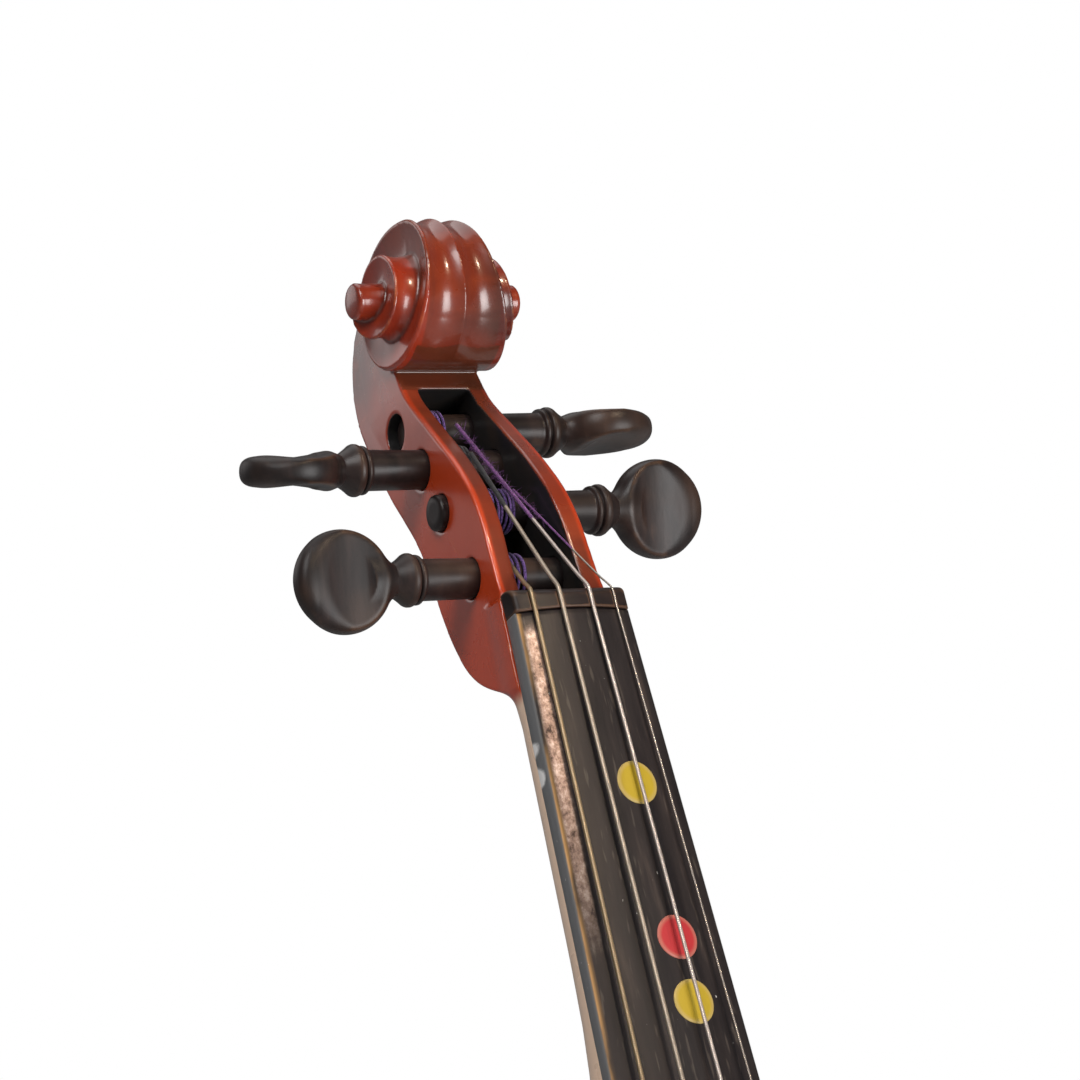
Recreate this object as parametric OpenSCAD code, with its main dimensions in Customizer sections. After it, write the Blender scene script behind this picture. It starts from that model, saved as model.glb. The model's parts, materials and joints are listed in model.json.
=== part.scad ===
// Half-size violin: a hollow arched body, a carved neck with pegbox and scroll, and its fittings.
// Frame: +Z runs up the body's centre line to the scroll, the strings face -Y, the bass side is -X.
// The origin is the centre of the end button's outer face.

/* [Body] */
// Length of the plates, without the back's button
body_len = 312; // [306:1:318]
// Width of the lower bout
lower_bout_w = 188; // [184:1:192]
// Width of the waist
waist_w = 101; // [99:1:103]
// Width of the upper bout
upper_bout_w = 152; // [149:1:155]
// Height of the ribs
rib_h = 27; // [26:0.5:28]
// Height of each plate's arch, its edge included
arch_h = 13.5; // [12.5:0.25:14]
// Thickness of the plates
plate_t = 3.2; // [3:0.1:3.4]
// How far the plates stand out past the ribs
overhang = 2.5; // [2.2:0.1:2.8]

/* [Neck] */
// Distance from the body's top edge to the nut
neck_len = 113; // [111:0.5:115]
// Tilt of the neck and fingerboard back from the body
neck_angle = 6.4; // [6:0.1:6.8]
// Width of the fingerboard at the nut
nut_w = 22.5; // [22.2:0.1:22.8]
// Length of the fingerboard
board_len = 234; // [228:1:238]
// How much the fingerboard widens for each millimetre of its length
board_taper = 0.069; // [0.066:0.001:0.071]
// Radius of the fingerboard's arched top
board_r = 39; // [38:0.5:41]
// Thickness of the fingerboard at its edges
board_edge = 3.6; // [3.3:0.1:3.9]

/* [Strings] */
// Diameters of the g, d, a and e strings
string_d = [0.8, 0.8, 0.68, 0.36];
// Distance between neighbouring strings at the nut
nut_pitch = 5.3; // [5.1:0.1:5.5]
// Distance between neighbouring strings at the bridge
bridge_pitch = 10; // [9.7:0.1:10.3]
// Height of the bridge above the top plate at its middle
bridge_h = 28; // [27.5:0.25:28.5]

/* [Pegs] */
// Radius of a peg's shank next to its collar
peg_r = 3.7; // [3.6:0.05:3.75]
// Radius of a peg's round thumb piece
head_r = 9.6; // [9:0.1:9.8]
// Turn of the g, d, a and e pegs' thumb pieces about their shanks
peg_turn = [-15, 64, 101, 22];

/* [Hidden] */
$fn = 48;

names = ["g", "d", "a", "e"];
body_z = 10.5;                  // the plates' bottom edge
half_rib = rib_h / 2;
stop_z = body_z + body_len * 0.458; // the bridge's line
nut_y = -17.3;                  // the fingerboard's top at the nut
nut_z = body_z + body_len + neck_len;

// ---- curves -------------------------------------------------------------------------------
function bezier(p, t) =
    p[0] * pow(1 - t, 3) + 3 * p[1] * t * pow(1 - t, 2) + 3 * p[2] * t * t * (1 - t) + p[3] * pow(t, 3);
function curve(p, n) = [for (i = [0 : n - 1]) bezier(p, i / n)];
function mix(a, b, t) = a + (b - a) * t;
function smooth(t) = 0.5 - 0.5 * cos(180 * max(0, min(1, t)));

// ---- outline of the plates, right half, from bottom to top ------------------------------------
lb = lower_bout_w / 2;
cb = waist_w / 2;
ub = upper_bout_w / 2;
L = body_len;
lower_corner = [[0.84 * lb, 0.388 * L], [0.803 * lb, 0.4055 * L]];
upper_corner = [[0.882 * ub, 0.63 * L], [0.914 * ub, 0.649 * L]];
half_outline = concat(
    curve([[0, 0], [0.55 * lb, 0], [lb, 0.083 * L], [lb, 0.212 * L]], 10),
    curve([[lb, 0.212 * L], [lb, 0.295 * L], [0.766 * lb, 0.333 * L], lower_corner[0]], 9),
    [lower_corner[0]],
    curve([lower_corner[1], [0.66 * lb, 0.42 * L], [cb, 0.458 * L], [cb, 0.529 * L]], 8),
    curve([[cb, 0.529 * L], [cb, 0.577 * L], [0.75 * ub, 0.615 * L], upper_corner[0]], 8),
    [upper_corner[0]],
    curve([upper_corner[1], [0.816 * ub, 0.686 * L], [ub, 0.724 * L], [ub, 0.795 * L]], 9),
    curve([[ub, 0.795 * L], [ub, 0.904 * L], [0.58 * ub, L], [0, L]], 10));
stations = [for (i = [1 : len(half_outline) - 1]) half_outline[i]];
width_at = [for (p = half_outline) [p[1], p[0]]];
outline = concat(half_outline, [[0, L]],
    [for (i = [len(half_outline) - 1 : -1 : 1]) [-half_outline[i][0], half_outline[i][1]]]);

// ---- arching --------------------------------------------------------------------------------
flat_edge = 5.5;                // the level border that the ribs and linings are glued to
function arch_share(x, w, z) =
    smooth((w - abs(x) - flat_edge) / (w - flat_edge))
    * pow(smooth((min(z, L - z) - flat_edge) / (0.46 * L)), 0.7);
function inner_height(x, w, z) = (arch_h - plate_t) * arch_share(x, w, z);
function inner_at(x, z) = inner_height(x, lookup(z, width_at), z);

// An arched sheet between two heights over the inner surface, in x, outward height, z.
module arched_sheet(low, high, across = 14) {
    rows = len(stations);
    side = rows * (across + 1);
    function spot(i, j, rise, flat) =
        let (w = stations[i][0], z = stations[i][1], x = w * sin(90 * (2 * j / across - 1)))
        [x, flat ? low : inner_height(x, w, z) + rise, z];
    points = concat(
        [for (i = [0 : rows - 1]) for (j = [0 : across]) spot(i, j, high, false)],
        [for (i = [0 : rows - 1]) for (j = [0 : across]) spot(i, j, 0, low < 0)]);
    function at(layer, i, j) = layer * side + i * (across + 1) + j;
    skins = [for (i = [0 : rows - 2]) for (j = [0 : across - 1]) each [
        [at(0, i, j), at(0, i + 1, j + 1), at(0, i + 1, j)],
        [at(0, i, j), at(0, i, j + 1), at(0, i + 1, j + 1)],
        [at(1, i, j), at(1, i + 1, j), at(1, i + 1, j + 1)],
        [at(1, i, j), at(1, i + 1, j + 1), at(1, i, j + 1)]]];
    edges = [for (i = [0 : rows - 2]) each [
        [at(0, i, 0), at(0, i + 1, 0), at(1, i + 1, 0)],
        [at(0, i, 0), at(1, i + 1, 0), at(1, i, 0)],
        [at(0, i, across), at(1, i + 1, across), at(0, i + 1, across)],
        [at(0, i, across), at(1, i, across), at(1, i + 1, across)]]];
    e = rows - 1;
    ends = [for (j = [0 : across - 1]) each [
        [at(0, 0, j), at(1, 0, j + 1), at(0, 0, j + 1)],
        [at(0, 0, j), at(1, 0, j), at(1, 0, j + 1)],
        [at(0, e, j), at(0, e, j + 1), at(1, e, j + 1)],
        [at(0, e, j), at(1, e, j + 1), at(1, e, j)]]];
    polyhedron(points = points, faces = concat(skins, edges, ends));
}

module on_front() { translate([0, -half_rib, body_z]) mirror([0, 1, 0]) children(); }
module on_back() { translate([0, half_rib, body_z]) children(); }
// A flat shape drawn in x, z and given a thickness from y = from to y = to.
module slab(from, to) { translate([0, to, 0]) rotate([90, 0, 0]) linear_extrude(to - from) children(); }
module body_slab(from, to) { translate([0, 0, body_z]) slab(from, to) children(); }
// A side view drawn in y, z and given a width about x = 0.
module side_cut(width) { rotate([90, 0, 90]) linear_extrude(width, center = true) children(); }
module body_outline(inset) { offset(delta = -inset) polygon(outline); }

// ---- sound holes ----------------------------------------------------------------------------
f_line = [
    [[20.8, 30.2], [24, 34.6], [30.2, 33], [31.2, 23]],
    [[31.2, 23], [32.6, 9], [33, -8], [34.4, -22]],
    [[34.4, -22], [35.4, -32.5], [41.8, -34.4], [45.2, -29.2]]];
f_path = concat([for (c = f_line) each curve(c, 7)], [f_line[2][3]]);
f_eyes = [[20.6, 27.4, 2.9], [44.8, -25.4, 3.7]];
module sound_hole_shape() {
    n = len(f_path) - 1;
    function half_w(i) = 0.35 + 1.75 * pow(sin(180 * i / n), 0.8);
    function normal(i) =
        let (a = f_path[max(0, i - 1)], b = f_path[min(n, i + 1)], d = b - a)
        [d[1], -d[0]] / norm(d);
    polygon(concat(
        [for (i = [0 : n]) f_path[i] + normal(i) * half_w(i)],
        [for (i = [n : -1 : 0]) f_path[i] - normal(i) * half_w(i)]));
    for (eye = f_eyes) translate([eye[0], eye[1]]) circle(eye[2]);
}
module sound_holes() {
    for (m = [0, 1]) mirror([m, 0, 0]) translate([0, 0, stop_z])
        slab(-half_rib - 20, -half_rib + 1) sound_hole_shape();
}

// ---- body -----------------------------------------------------------------------------------
saddle_w = 26;
saddle_d = 5;
tenon_w = 22;
tenon_d = 5;
purfling_in = 3.4;
purfling_w = 1;
purfling_t = 1.2;

module purfling_band(grow = 0) {
    difference() {
        body_outline(purfling_in - grow);
        body_outline(purfling_in + purfling_w + grow);
    }
}
module saddle_room() {
    translate([-saddle_w / 2, -half_rib - plate_t - 6, body_z - 1]) cube([saddle_w, plate_t + 6, saddle_d + 1]);
}
module neck_room() {
    translate([-tenon_w / 2, -half_rib - plate_t - 1, body_z + L - overhang - tenon_d])
        cube([tenon_w, rib_h + plate_t + 1, tenon_d + overhang + 1]);
}
module top_plate() {
    color("chocolate") difference() {
        on_front() arched_sheet(0, plate_t);
        sound_holes();
        saddle_room();
        neck_room();
        translate([0, -half_rib - plate_t + purfling_t / 2 - 0.6, 0])
            body_slab(-1, 1.2) purfling_groove();
    }
}
module purfling_groove() { purfling_band(0.05); }
module top_purfling() {
    color("black") difference() {
        body_slab(-half_rib - plate_t, -half_rib - plate_t + purfling_t - 0.1) purfling_band();
        saddle_room();
        neck_room();
    }
}
button_r = 9.5;
module back_plate() {
    color("sienna") difference() {
        union() {
            on_back() arched_sheet(0, plate_t);
            translate([0, 0, body_z + L - 2]) slab(half_rib, half_rib + plate_t) {
                translate([0, 4]) circle(button_r);
                translate([-button_r, -5]) square([2 * button_r, 9]);
            }
        }
        translate([0, half_rib + plate_t - purfling_t, body_z]) slab(0, 3) purfling_band(0.05);
    }
}
module back_purfling() {
    color("black") body_slab(half_rib + plate_t - purfling_t + 0.1, half_rib + plate_t) purfling_band();
}

rib_t = 1.2;
rib_joints = [0, (lower_corner[0][1] + lower_corner[1][1]) / 2, (upper_corner[0][1] + upper_corner[1][1]) / 2, L];
// One rib: the band between two heights on one side of the centre line.
module rib(side, bout) {
    color("sienna") difference() {
        body_slab(-half_rib, half_rib) intersection() {
            difference() {
                body_outline(overhang);
                body_outline(overhang + rib_t);
            }
            translate([side > 0 ? 0 : -200, rib_joints[bout]])
                square([200, rib_joints[bout + 1] - rib_joints[bout]]);
        }
        if (bout == 0) end_button_hole();
        if (bout == 2) neck_room();
    }
}
lining_t = 1.5;
lining_h = 5.5;
block_reach = 20;
module block_places(inset) {
    intersection() {
        body_outline(inset);
        union() {
            translate([-23, 0]) square([46, 19]);
            translate([-21, L - 18]) square([42, 18]);
            for (side = [-1, 1]) {
                translate([side * lower_corner[0][0], rib_joints[1]]) circle(block_reach);
                translate([side * upper_corner[0][0], rib_joints[2]]) circle(block_reach);
            }
        }
    }
}
module linings(from, to) {
    color("burlywood") body_slab(from, to) difference() {
        body_outline(overhang + rib_t);
        body_outline(overhang + rib_t + lining_t);
        block_places(0);
    }
}
module block(low, high, half_w) {
    color("tan") body_slab(-half_rib, half_rib) intersection() {
        block_places(overhang + rib_t);
        translate([-half_w, low]) square([2 * half_w, high - low]);
    }
}
module upper_block() { difference() { block(L - 30, L, 30); neck_room(); } }
module end_block() { difference() { block(0, 30, 30); end_button_hole(); } }
module corner_blocks() { block(60, L - 60, 120); }

bar_x = -14;
module bass_bar() {
    low = 0.15 * L;
    high = 0.82 * L;
    steps = 14;
    function depth(t) = 2 + 6.5 * sin(180 * t);
    ridge = [for (i = [0 : steps]) let (z = mix(low, high, i / steps)) [-half_rib - inner_at(bar_x, z) + 0.9, z]];
    color("burlywood") translate([bar_x, 0, body_z]) side_cut(4.5)
        polygon(concat(ridge, [for (i = [steps : -1 : 0]) ridge[i] + [depth(i / steps), 0]]));
}
post_x = 15;
post_z = 0.458 * 312 - 6;
module sound_post() {
    reach = half_rib + inner_at(post_x, post_z) - 0.9;
    color("burlywood") translate([post_x, reach, body_z + post_z]) rotate([90, 0, 0]) cylinder(r = 2.8, h = 2 * reach);
}

// ---- neck, in a frame with its origin on the board's top at the nut, +Z up the neck, +Y behind ---
module neck_frame() { translate([0, nut_y, nut_z]) rotate([-neck_angle, 0, 0]) children(); }
function board_half(down) = nut_w / 2 + board_taper / 2 * down;
function board_sag(half) = board_r - sqrt(board_r * board_r - half * half);
board_under = board_sag(nut_w / 2) + board_edge;
nut_low = 0.8;                  // where the board ends and the nut begins

peg_places = [[15.4, 13.7], [25.3, 39.8], [32, 50.4], [21.4, 29.3]];
peg_sides = [-1, -1, 1, 1];
eye = [21.6, 72.2];
eye_x = 17.4;
cheek_low = 10.6;               // half the pegbox's width at the nut
cheek_slope = 0.034;            // and how fast it narrows upwards
wall_t = 3.4;
function cheek_half(z) = cheek_low - cheek_slope * z;

pegbox_front = concat(
    curve([[board_under, 5], [7, 14], [7.4, 22], [9.6, 29.5]], 6),
    curve([[9.6, 29.5], [14.5, 38.5], [20.5, 47], [29.5, 59.5]], 5));
pegbox_back = concat(
    [[24, 68], [34, 78], [40.9, 74.2]],
    curve([[43.3, 69.4], [46.2, 58], [40.5, 46], [36, 35.5]], 6),
    curve([[36, 35.5], [31, 24], [31, 10], [24.7, 1.6]], 6),
    curve([[24.7, 1.6], [20.5, -5], [14.5, -9], [board_under, -11.6]], 5));
module pegbox_side() {
    polygon(concat(pegbox_front, [[29.5, 59.5]], pegbox_back, [[board_under, -11.6]]));
}
mortise_low = 7.5;
mortise_high = 56.5;
module pegbox_room() {
    intersection() {
        side_cut(30) polygon([[0, mortise_low], [21.5, mortise_low], [25.8, 18], [27.5, 30], [34.3, 40],
            [39.3, mortise_high], [0, mortise_high]]);
        slab(0, 60) polygon([
            [-cheek_half(mortise_low) + wall_t, mortise_low], [-cheek_half(mortise_high) + wall_t, mortise_high],
            [cheek_half(mortise_high) - wall_t, mortise_high], [cheek_half(mortise_low) - wall_t, mortise_low]]);
    }
}
// The outer turn of the volute: angle from straight behind, then up and over, with its radius.
turn_radii = [[0, 22], [45, 19.2], [90, 16.6], [135, 14.7], [180, 13.4], [225, 12.9], [270, 12.4], [330, 11]];
module volute() {
    outer = [for (a = [0 : 15 : 315]) eye + lookup(a, turn_radii) * [cos(a), sin(a)]];
    intersection() {
        side_cut(22) polygon(outer);
        slab(0, 60) polygon([[-12, 54], [-4.8, 89], [4.8, 89], [12, 54]]);
    }
    for (step = [[9.2, 11.4], [6.6, 14.4], [3.3, eye_x]])
        translate([-step[1], eye[0], eye[1]]) rotate([0, 90, 0]) cylinder(r = step[0], h = 2 * step[1]);
}
shank_r_far = peg_r - 0.42;     // at the tip
peg_gap = 0.04;
module peg_axis(i) {
    translate([0, peg_places[i][0], peg_places[i][1]]) rotate([0, 90 * peg_sides[i], 0]) children();
}
shank_from = [-10.9, -9.6, -6.8, -11.3];
shank_to = 20;
module peg_hole(i) {
    reach = 24;
    slope = (peg_r - shank_r_far) / (shank_to + 11);
    peg_axis(i) translate([0, 0, -reach / 2 - 1])
        cylinder(r1 = peg_r - slope * (shank_to + reach / 2 + 1) + peg_gap,
            r2 = peg_r - slope * (shank_to - reach / 2 - 1) + peg_gap, h = reach + 2);
}
heel_top = -neck_len + 26;
module neck_and_scroll() {
    color("firebrick") {
        difference() {
            union() {
                neck_frame() difference() {
                    union() {
                        neck_shaft();
                        intersection() {
                            side_cut(22) pegbox_side();
                            slab(0, 60) polygon([[-cheek_half(-12), -12], [-cheek_half(79), 79],
                                [cheek_half(79), 79], [cheek_half(-12), -12]]);
                        }
                        volute();
                    }
                    pegbox_room();
                    for (i = [0 : 3]) peg_hole(i);
                }
                heel();
            }
            above_neck();
        }
    }
}
module neck_shaft() {
    translate([0, board_under, -neck_len]) intersection() {
        cylinder(r1 = 13.4, r2 = nut_w / 2, h = neck_len + 5);
        translate([-20, 0, 0]) cube([40, 20, neck_len + 5]);
    }
}
// The heel stands on the back's button, and its tenon sits in the upper block.
module heel() {
    top_z = body_z + L;
    intersection() {
        side_cut(28) polygon(concat(
            [[half_rib, top_z - overhang - tenon_d + 0.05], [half_rib, top_z + 8]],
            curve([[half_rib, top_z + 8], [4, top_z + 10], [0, top_z + 18], [-7.5, top_z + 34]], 7),
            [[-24, top_z + 34], [-24, top_z - overhang - tenon_d + 0.05]]));
        translate([0, 0, top_z]) linear_extrude(2 * (overhang + tenon_d) + 70, center = true)
            polygon([[-14.2, -24], [14.2, -24], [9, half_rib], [-9, half_rib]]);
        union() {
            translate([-20, -30, top_z + 0.05]) cube([40, 60, 60]);
            translate([-20, -half_rib + 0.05, top_z - overhang]) cube([40, rib_h, 20]);
            translate([-tenon_w / 2 + 0.05, -half_rib - plate_t, top_z - overhang - tenon_d + 0.05])
                cube([tenon_w - 0.1, rib_h + plate_t, 20]);
        }
    }
}
// Everything on the fingerboard's side of the neck's glue face.
module above_neck() {
    neck_frame() translate([-30, -60, -neck_len - 30]) cube([60, 60 + board_under, neck_len + 30 + 5]);
}

// ---- fingerboard, nut and dots --------------------------------------------------------------
module board_section(down, under) {
    half = board_half(down);
    translate([0, 0, -down]) linear_extrude(0.01, center = true) intersection() {
        translate([0, board_r]) circle(board_r, $fn = 180);
        translate([-half, -1]) square([2 * half, under + 1]);
    }
}
module fingerboard() {
    color([0.1, 0.09, 0.09]) neck_frame() difference() {
        hull() {
            board_section(0.01 - nut_low, board_under);
            board_section(board_len, board_under);
        }
        hollow = board_len - neck_len - 6;
        translate([0, board_under + 3.2 + 20, -board_len - 1]) cylinder(r = 24, h = hollow);
        translate([0, board_under + 3.2 + 20, -board_len - 1 + hollow]) sphere(24);
    }
}
nut_len = 5;
nut_rise = 0.5;
module nut() {
    color([0.12, 0.12, 0.12]) neck_frame() intersection() {
        translate([0, 0, nut_low + 0.02]) linear_extrude(nut_len - 0.04) difference() {
            intersection() {
                translate([0, board_r - nut_rise]) circle(board_r, $fn = 180);
                translate([-nut_w / 2 + 0.05, -2]) square([nut_w - 0.1, board_under + 2 - 0.02]);
            }
            for (i = [0 : 3]) translate([nut_x(i), nut_local(i, 0)[1]]) circle(string_d[i] / 2 + 0.06);
        }
        translate([0, 0, nut_low]) side_cut(30)
            polygon([[-3, -1], [-3, 3.1], [0.2, 3.4], [3.6, 4.9], [20, 4.9], [20, -1]]);
    }
}
dot_r = 3.9;
dot_x = 3.1;
dot_slips = [[2, 0.6], [4, 0.65], [5, -0.75]]; // how far off each one was stuck on
function scale_length() = norm(nut_point(1) - bridge_point(1));
module finger_dot(semitones) {
    down = scale_length() * (1 - pow(2, -semitones / 12)) + lookup(semitones, dot_slips);
    x = dot_x * board_half(down) / board_half(0);
    turn = asin(x / board_r);
    neck_frame() translate([x, board_sag(x), -down]) rotate([0, 0, turn]) rotate([90, 0, 0])
        translate([0, 0, 0.02]) cylinder(r = dot_r, h = 0.15);
}
module yellow_finger_dots() { color("gold") for (s = [2, 5]) finger_dot(s); }
module red_finger_dot() { color("crimson") finger_dot(4); }

// ---- pegs -----------------------------------------------------------------------------------
collar_at = 20.4;
module peg(i) {
    head_at = 34.4;
    slope = (peg_r - shank_r_far) / (shank_to + 11);
    color([0.14, 0.11, 0.1]) neck_frame() peg_axis(i) rotate([0, 0, peg_turn[i]]) {
        translate([0, 0, shank_from[i]])
            cylinder(r1 = peg_r - slope * (shank_to - shank_from[i]), r2 = peg_r, h = shank_to - shank_from[i]);
        translate([0, 0, collar_at - 0.5]) cylinder(r = 4.6, h = 1.5);
        translate([0, 0, collar_at + 1]) cylinder(r = 4.8, h = 3);
        translate([0, 0, collar_at + 3]) cylinder(r1 = 3.2, r2 = 2.7, h = 6);
        difference() {
            translate([0, 3, head_at]) rotate([90, 0, 0]) cylinder(r = head_r, h = 6);
            for (s = [-1, 1]) translate([0, s * 34.4, head_at]) sphere(32);
        }
    }
}
function coil_x(i) = [-3.2, -2.6, 2.2, 3.4][i];
coil_turns = 4;
module silk_winding(i) {
    wire = string_d[i] / 2 + 0.12;
    inner = peg_r - 0.18;
    color("rebeccapurple") neck_frame() translate([coil_x(i), peg_places[i][0], peg_places[i][1]])
        rotate([0, 90, 0]) for (k = [0 : coil_turns - 1])
            translate([0, 0, (k - (coil_turns - 1) / 2) * 2.02 * wire])
                rotate_extrude() translate([inner + wire, 0]) circle(wire);
}

// ---- strings --------------------------------------------------------------------------------
// Points along each string, in the part's own frame.
function from_neck(p) = [p[0],
    nut_y + p[1] * cos(neck_angle) + p[2] * sin(neck_angle),
    nut_z - p[1] * sin(neck_angle) + p[2] * cos(neck_angle)];
function nut_x(i) = (i - 1.5) * nut_pitch;
function nut_local(i, z) = [nut_x(i), board_sag(nut_x(i)) - nut_rise - string_d[i] * 0.2, nut_low + z];
function nut_point(i) = from_neck(nut_local(i, 0.3));
function nut_back(i) = from_neck(nut_local(i, 3.1));
function peg_point(i) = from_neck([coil_x(i) - sign(coil_x(i)) * (coil_turns - 1) * 0.5,
    peg_places[i][0] - peg_r - string_d[i] * 1.5 - 0.5, peg_places[i][1] + 0.5]);
bridge_r = 33;
bridge_top_y = -half_rib - arch_h - bridge_h;
function bridge_x(i) = (i - 1.5) * bridge_pitch;
function bridge_point(i) =
    let (lean = [0, 0.15, 0.35, 0.1][i])
    [bridge_x(i), bridge_top_y + (bridge_r - sqrt(bridge_r * bridge_r - pow(bridge_x(i), 2)))
        - string_d[i] * 0.3 + lean, stop_z];
tail_top = [0, -43.5, stop_z - 46];
tail_low = [0, -26.6, body_z + 9];
tail_dir = (tail_low - tail_top) / norm(tail_low - tail_top);
tail_out = [0, tail_dir[2], -tail_dir[1]];
tuner_pitch = 8;
function from_tail(p) = [p[0], 0, 0] + tail_top + p[1] * tail_out + p[2] * tail_dir;
ball_local = [2, 6.75];         // the ball's height over the tailpiece and its distance from the end
function string_end(i) = from_tail([(i - 1.5) * tuner_pitch, ball_local[0], ball_local[1] - 1.3]);

// A round rod along a route of points, turned about a direction no part of it follows.
module tube(route, r, around = [1, 0, 0], sides = 12) {
    last = len(route) - 1;
    function unit(v) = v / norm(v);
    function along(i) = unit(unit(route[min(last, i + 1)] - route[min(last - 1, i)])
        + unit(route[max(1, i)] - route[max(0, i - 1)]));
    function ring(i) =
        let (t = along(i), u = unit(cross(t, around)), v = cross(t, u))
        [for (k = [0 : sides - 1]) route[i] + r * (u * cos(360 * k / sides) + v * sin(360 * k / sides))];
    points = [for (i = [0 : last]) each ring(i)];
    walls = [for (i = [0 : last - 1]) for (k = [0 : sides - 1]) let (n = (k + 1) % sides) each [
        [i * sides + k, (i + 1) * sides + n, i * sides + n],
        [i * sides + k, (i + 1) * sides + k, (i + 1) * sides + n]]];
    caps = [[for (k = [0 : sides - 1]) k], [for (k = [sides - 1 : -1 : 0]) last * sides + k]];
    polyhedron(points = points, faces = concat(walls, caps));
}
function string_route(i) = [peg_point(i), nut_back(i), nut_point(i), bridge_point(i), string_end(i)];
module string(i) { color("silver") tube(string_route(i), string_d[i] / 2); }

// ---- bridge ---------------------------------------------------------------------------------
module bridge_front() {
    top = bridge_top_y;
    foot = -half_rib - arch_h + 4;
    difference() {
        intersection() {
            translate([0, -(top + bridge_r)]) circle(bridge_r, $fn = 120);
            polygon(concat(
                curve([[-20, -foot], [-20, -foot + 7], [-12, -foot + 9], [-16, -foot + 14]], 6),
                curve([[-16, -foot + 14], [-21, -foot + 18], [-18, -foot + 24], [-18, -top + 2]], 6),
                [[-18, -top + 2], [18, -top + 2]],
                curve([[18, -top + 2], [18, -foot + 24], [21, -foot + 18], [16, -foot + 14]], 6),
                curve([[16, -foot + 14], [12, -foot + 9], [20, -foot + 7], [20, -foot]], 6),
                [[20, -foot], [9, -foot]],
                curve([[9, -foot], [9, -foot + 6], [4, -foot + 10], [0, -foot + 10]], 5),
                curve([[0, -foot + 10], [-4, -foot + 10], [-9, -foot + 6], [-9, -foot]], 5)));
        }
        for (s = [-1, 1]) {
            translate([s * 2, -foot + 17.6]) circle(2.2);
            translate([s * 13.8, -foot + 17.5]) circle(2.6);
            translate([s * 13.8 - (s > 0 ? 0 : 8), -foot + 16.8]) square([8, 1.4]);
        }
        polygon([[-4, -foot + 17], [0, -foot + 12.4], [4, -foot + 17]]);
    }
}
module bridge() {
    color("burlywood") difference() {
        translate([0, 0, stop_z]) intersection() {
            linear_extrude(4.4, center = true) mirror([0, 1]) bridge_front();
            side_cut(50) polygon([[-half_rib, 2.1], [-half_rib, -2.1], [bridge_top_y - 1, -2.1 + 1.0],
                [bridge_top_y - 1, 0.8]]);
        }
        on_front() arched_sheet(-4, plate_t + 0.02);
        for (i = [0 : 3]) tube(string_route(i), string_d[i] / 2 + 0.04);
    }
}

// ---- tailpiece and tuners, in a frame with +Y out of its face and +Z towards the saddle --------
tail_len = norm(tail_low - tail_top);
module tail_frame() {
    multmatrix([
        [1, 0, 0, tail_top[0]],
        [0, tail_out[1], tail_dir[1], tail_top[1]],
        [0, tail_out[2], tail_dir[2], tail_top[2]],
        [0, 0, 0, 1]]) children();
}
tail_t = 3;
slot_w = 3;
pivot = [-4.4, 7.5];            // height and distance along the tailpiece
screw_at = 19;
screw_r = 1.1;
module tailpiece() {
    color([0.08, 0.08, 0.08]) tail_frame() difference() {
        union() {
            intersection() {
                side_cut(50) polygon([[-tail_t, 0], [0, 0], [0, tail_len], [-tail_t, tail_len]]);
                slab(-20, 20) polygon([[-18.5, 0], [18.5, 0], [17.5, 22], [10, 62], [8.5, tail_len - 2],
                    [6.5, tail_len], [-6.5, tail_len], [-8.5, tail_len - 2], [-10, 62], [-17.5, 22]]);
            }
            for (x = [-2 : 2]) translate([x * tuner_pitch - 0.9, -6, 4]) cube([1.8, 5, 7]);
        }
        for (i = [0 : 3]) translate([(i - 1.5) * tuner_pitch, 0, 0]) {
            translate([-slot_w / 2, -tail_t - 1, -1]) cube([slot_w, tail_t + 2, 12]);
            translate([0, 1, screw_at]) rotate([90, 0, 0]) cylinder(r = screw_r + 0.05, h = tail_t + 2);
        }
        translate([-25, pivot[0], pivot[1]]) rotate([0, 90, 0]) cylinder(r = 0.8, h = 50);
        for (s = [-1, 1]) translate([s * 4, 1, tail_len - 5]) rotate([90, 0, 0]) cylinder(r = 1.05, h = tail_t + 2);
    }
}
module tuner_pivot_pin() {
    color("silver") tail_frame() translate([-17.2, pivot[0], pivot[1]]) rotate([0, 90, 0]) cylinder(r = 0.78, h = 34.4);
}
module tuner_lever(i) {
    color("silver") tail_frame() translate([(i - 1.5) * tuner_pitch, 0, 0]) difference() {
        side_cut(slot_w - 0.4) polygon([
            [-6.1, 9.4], [-6.1, 5.9], [-3, 4.6], [-0.5, 4.2], [3.4, 4.2], [3.4, 5.4], [0.4, 5.5],
            [-0.2, 8.8], [-3.5, 10.2], [-3.6, screw_at + 1.6], [-4.9, screw_at + 1.6], [-5.2, 11]]);
        translate([-5, pivot[0], pivot[1]]) rotate([0, 90, 0]) cylinder(r = 0.83, h = 10);
        translate([-0.55, 0.9, 3]) cube([1.1, 4, 4]);
    }
}
module ball_end(i) {
    color("goldenrod") translate(from_tail([(i - 1.5) * tuner_pitch, ball_local[0], ball_local[1]]))
        rotate([0, 90, 0]) cylinder(r = 1.25, h = 3, center = true);
}
module tuner_screw(i) {
    color("silver") tail_frame() translate([(i - 1.5) * tuner_pitch, 0, screw_at]) rotate([-90, 0, 0]) {
        translate([0, 0, -3.4]) cylinder(r = screw_r, h = 8);
        translate([0, 0, 3]) cylinder(r = 1.7, h = 1.2);
        difference() {
            translate([0, 0, 4.2]) cylinder(r = 2.9, h = 3.4);
            translate([-0.3, -4, 7]) cube([0.6, 8, 2]);
        }
    }
}
gut_r = 0.9;
button_neck_r = 3.4;
gut_z = 9;
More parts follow.
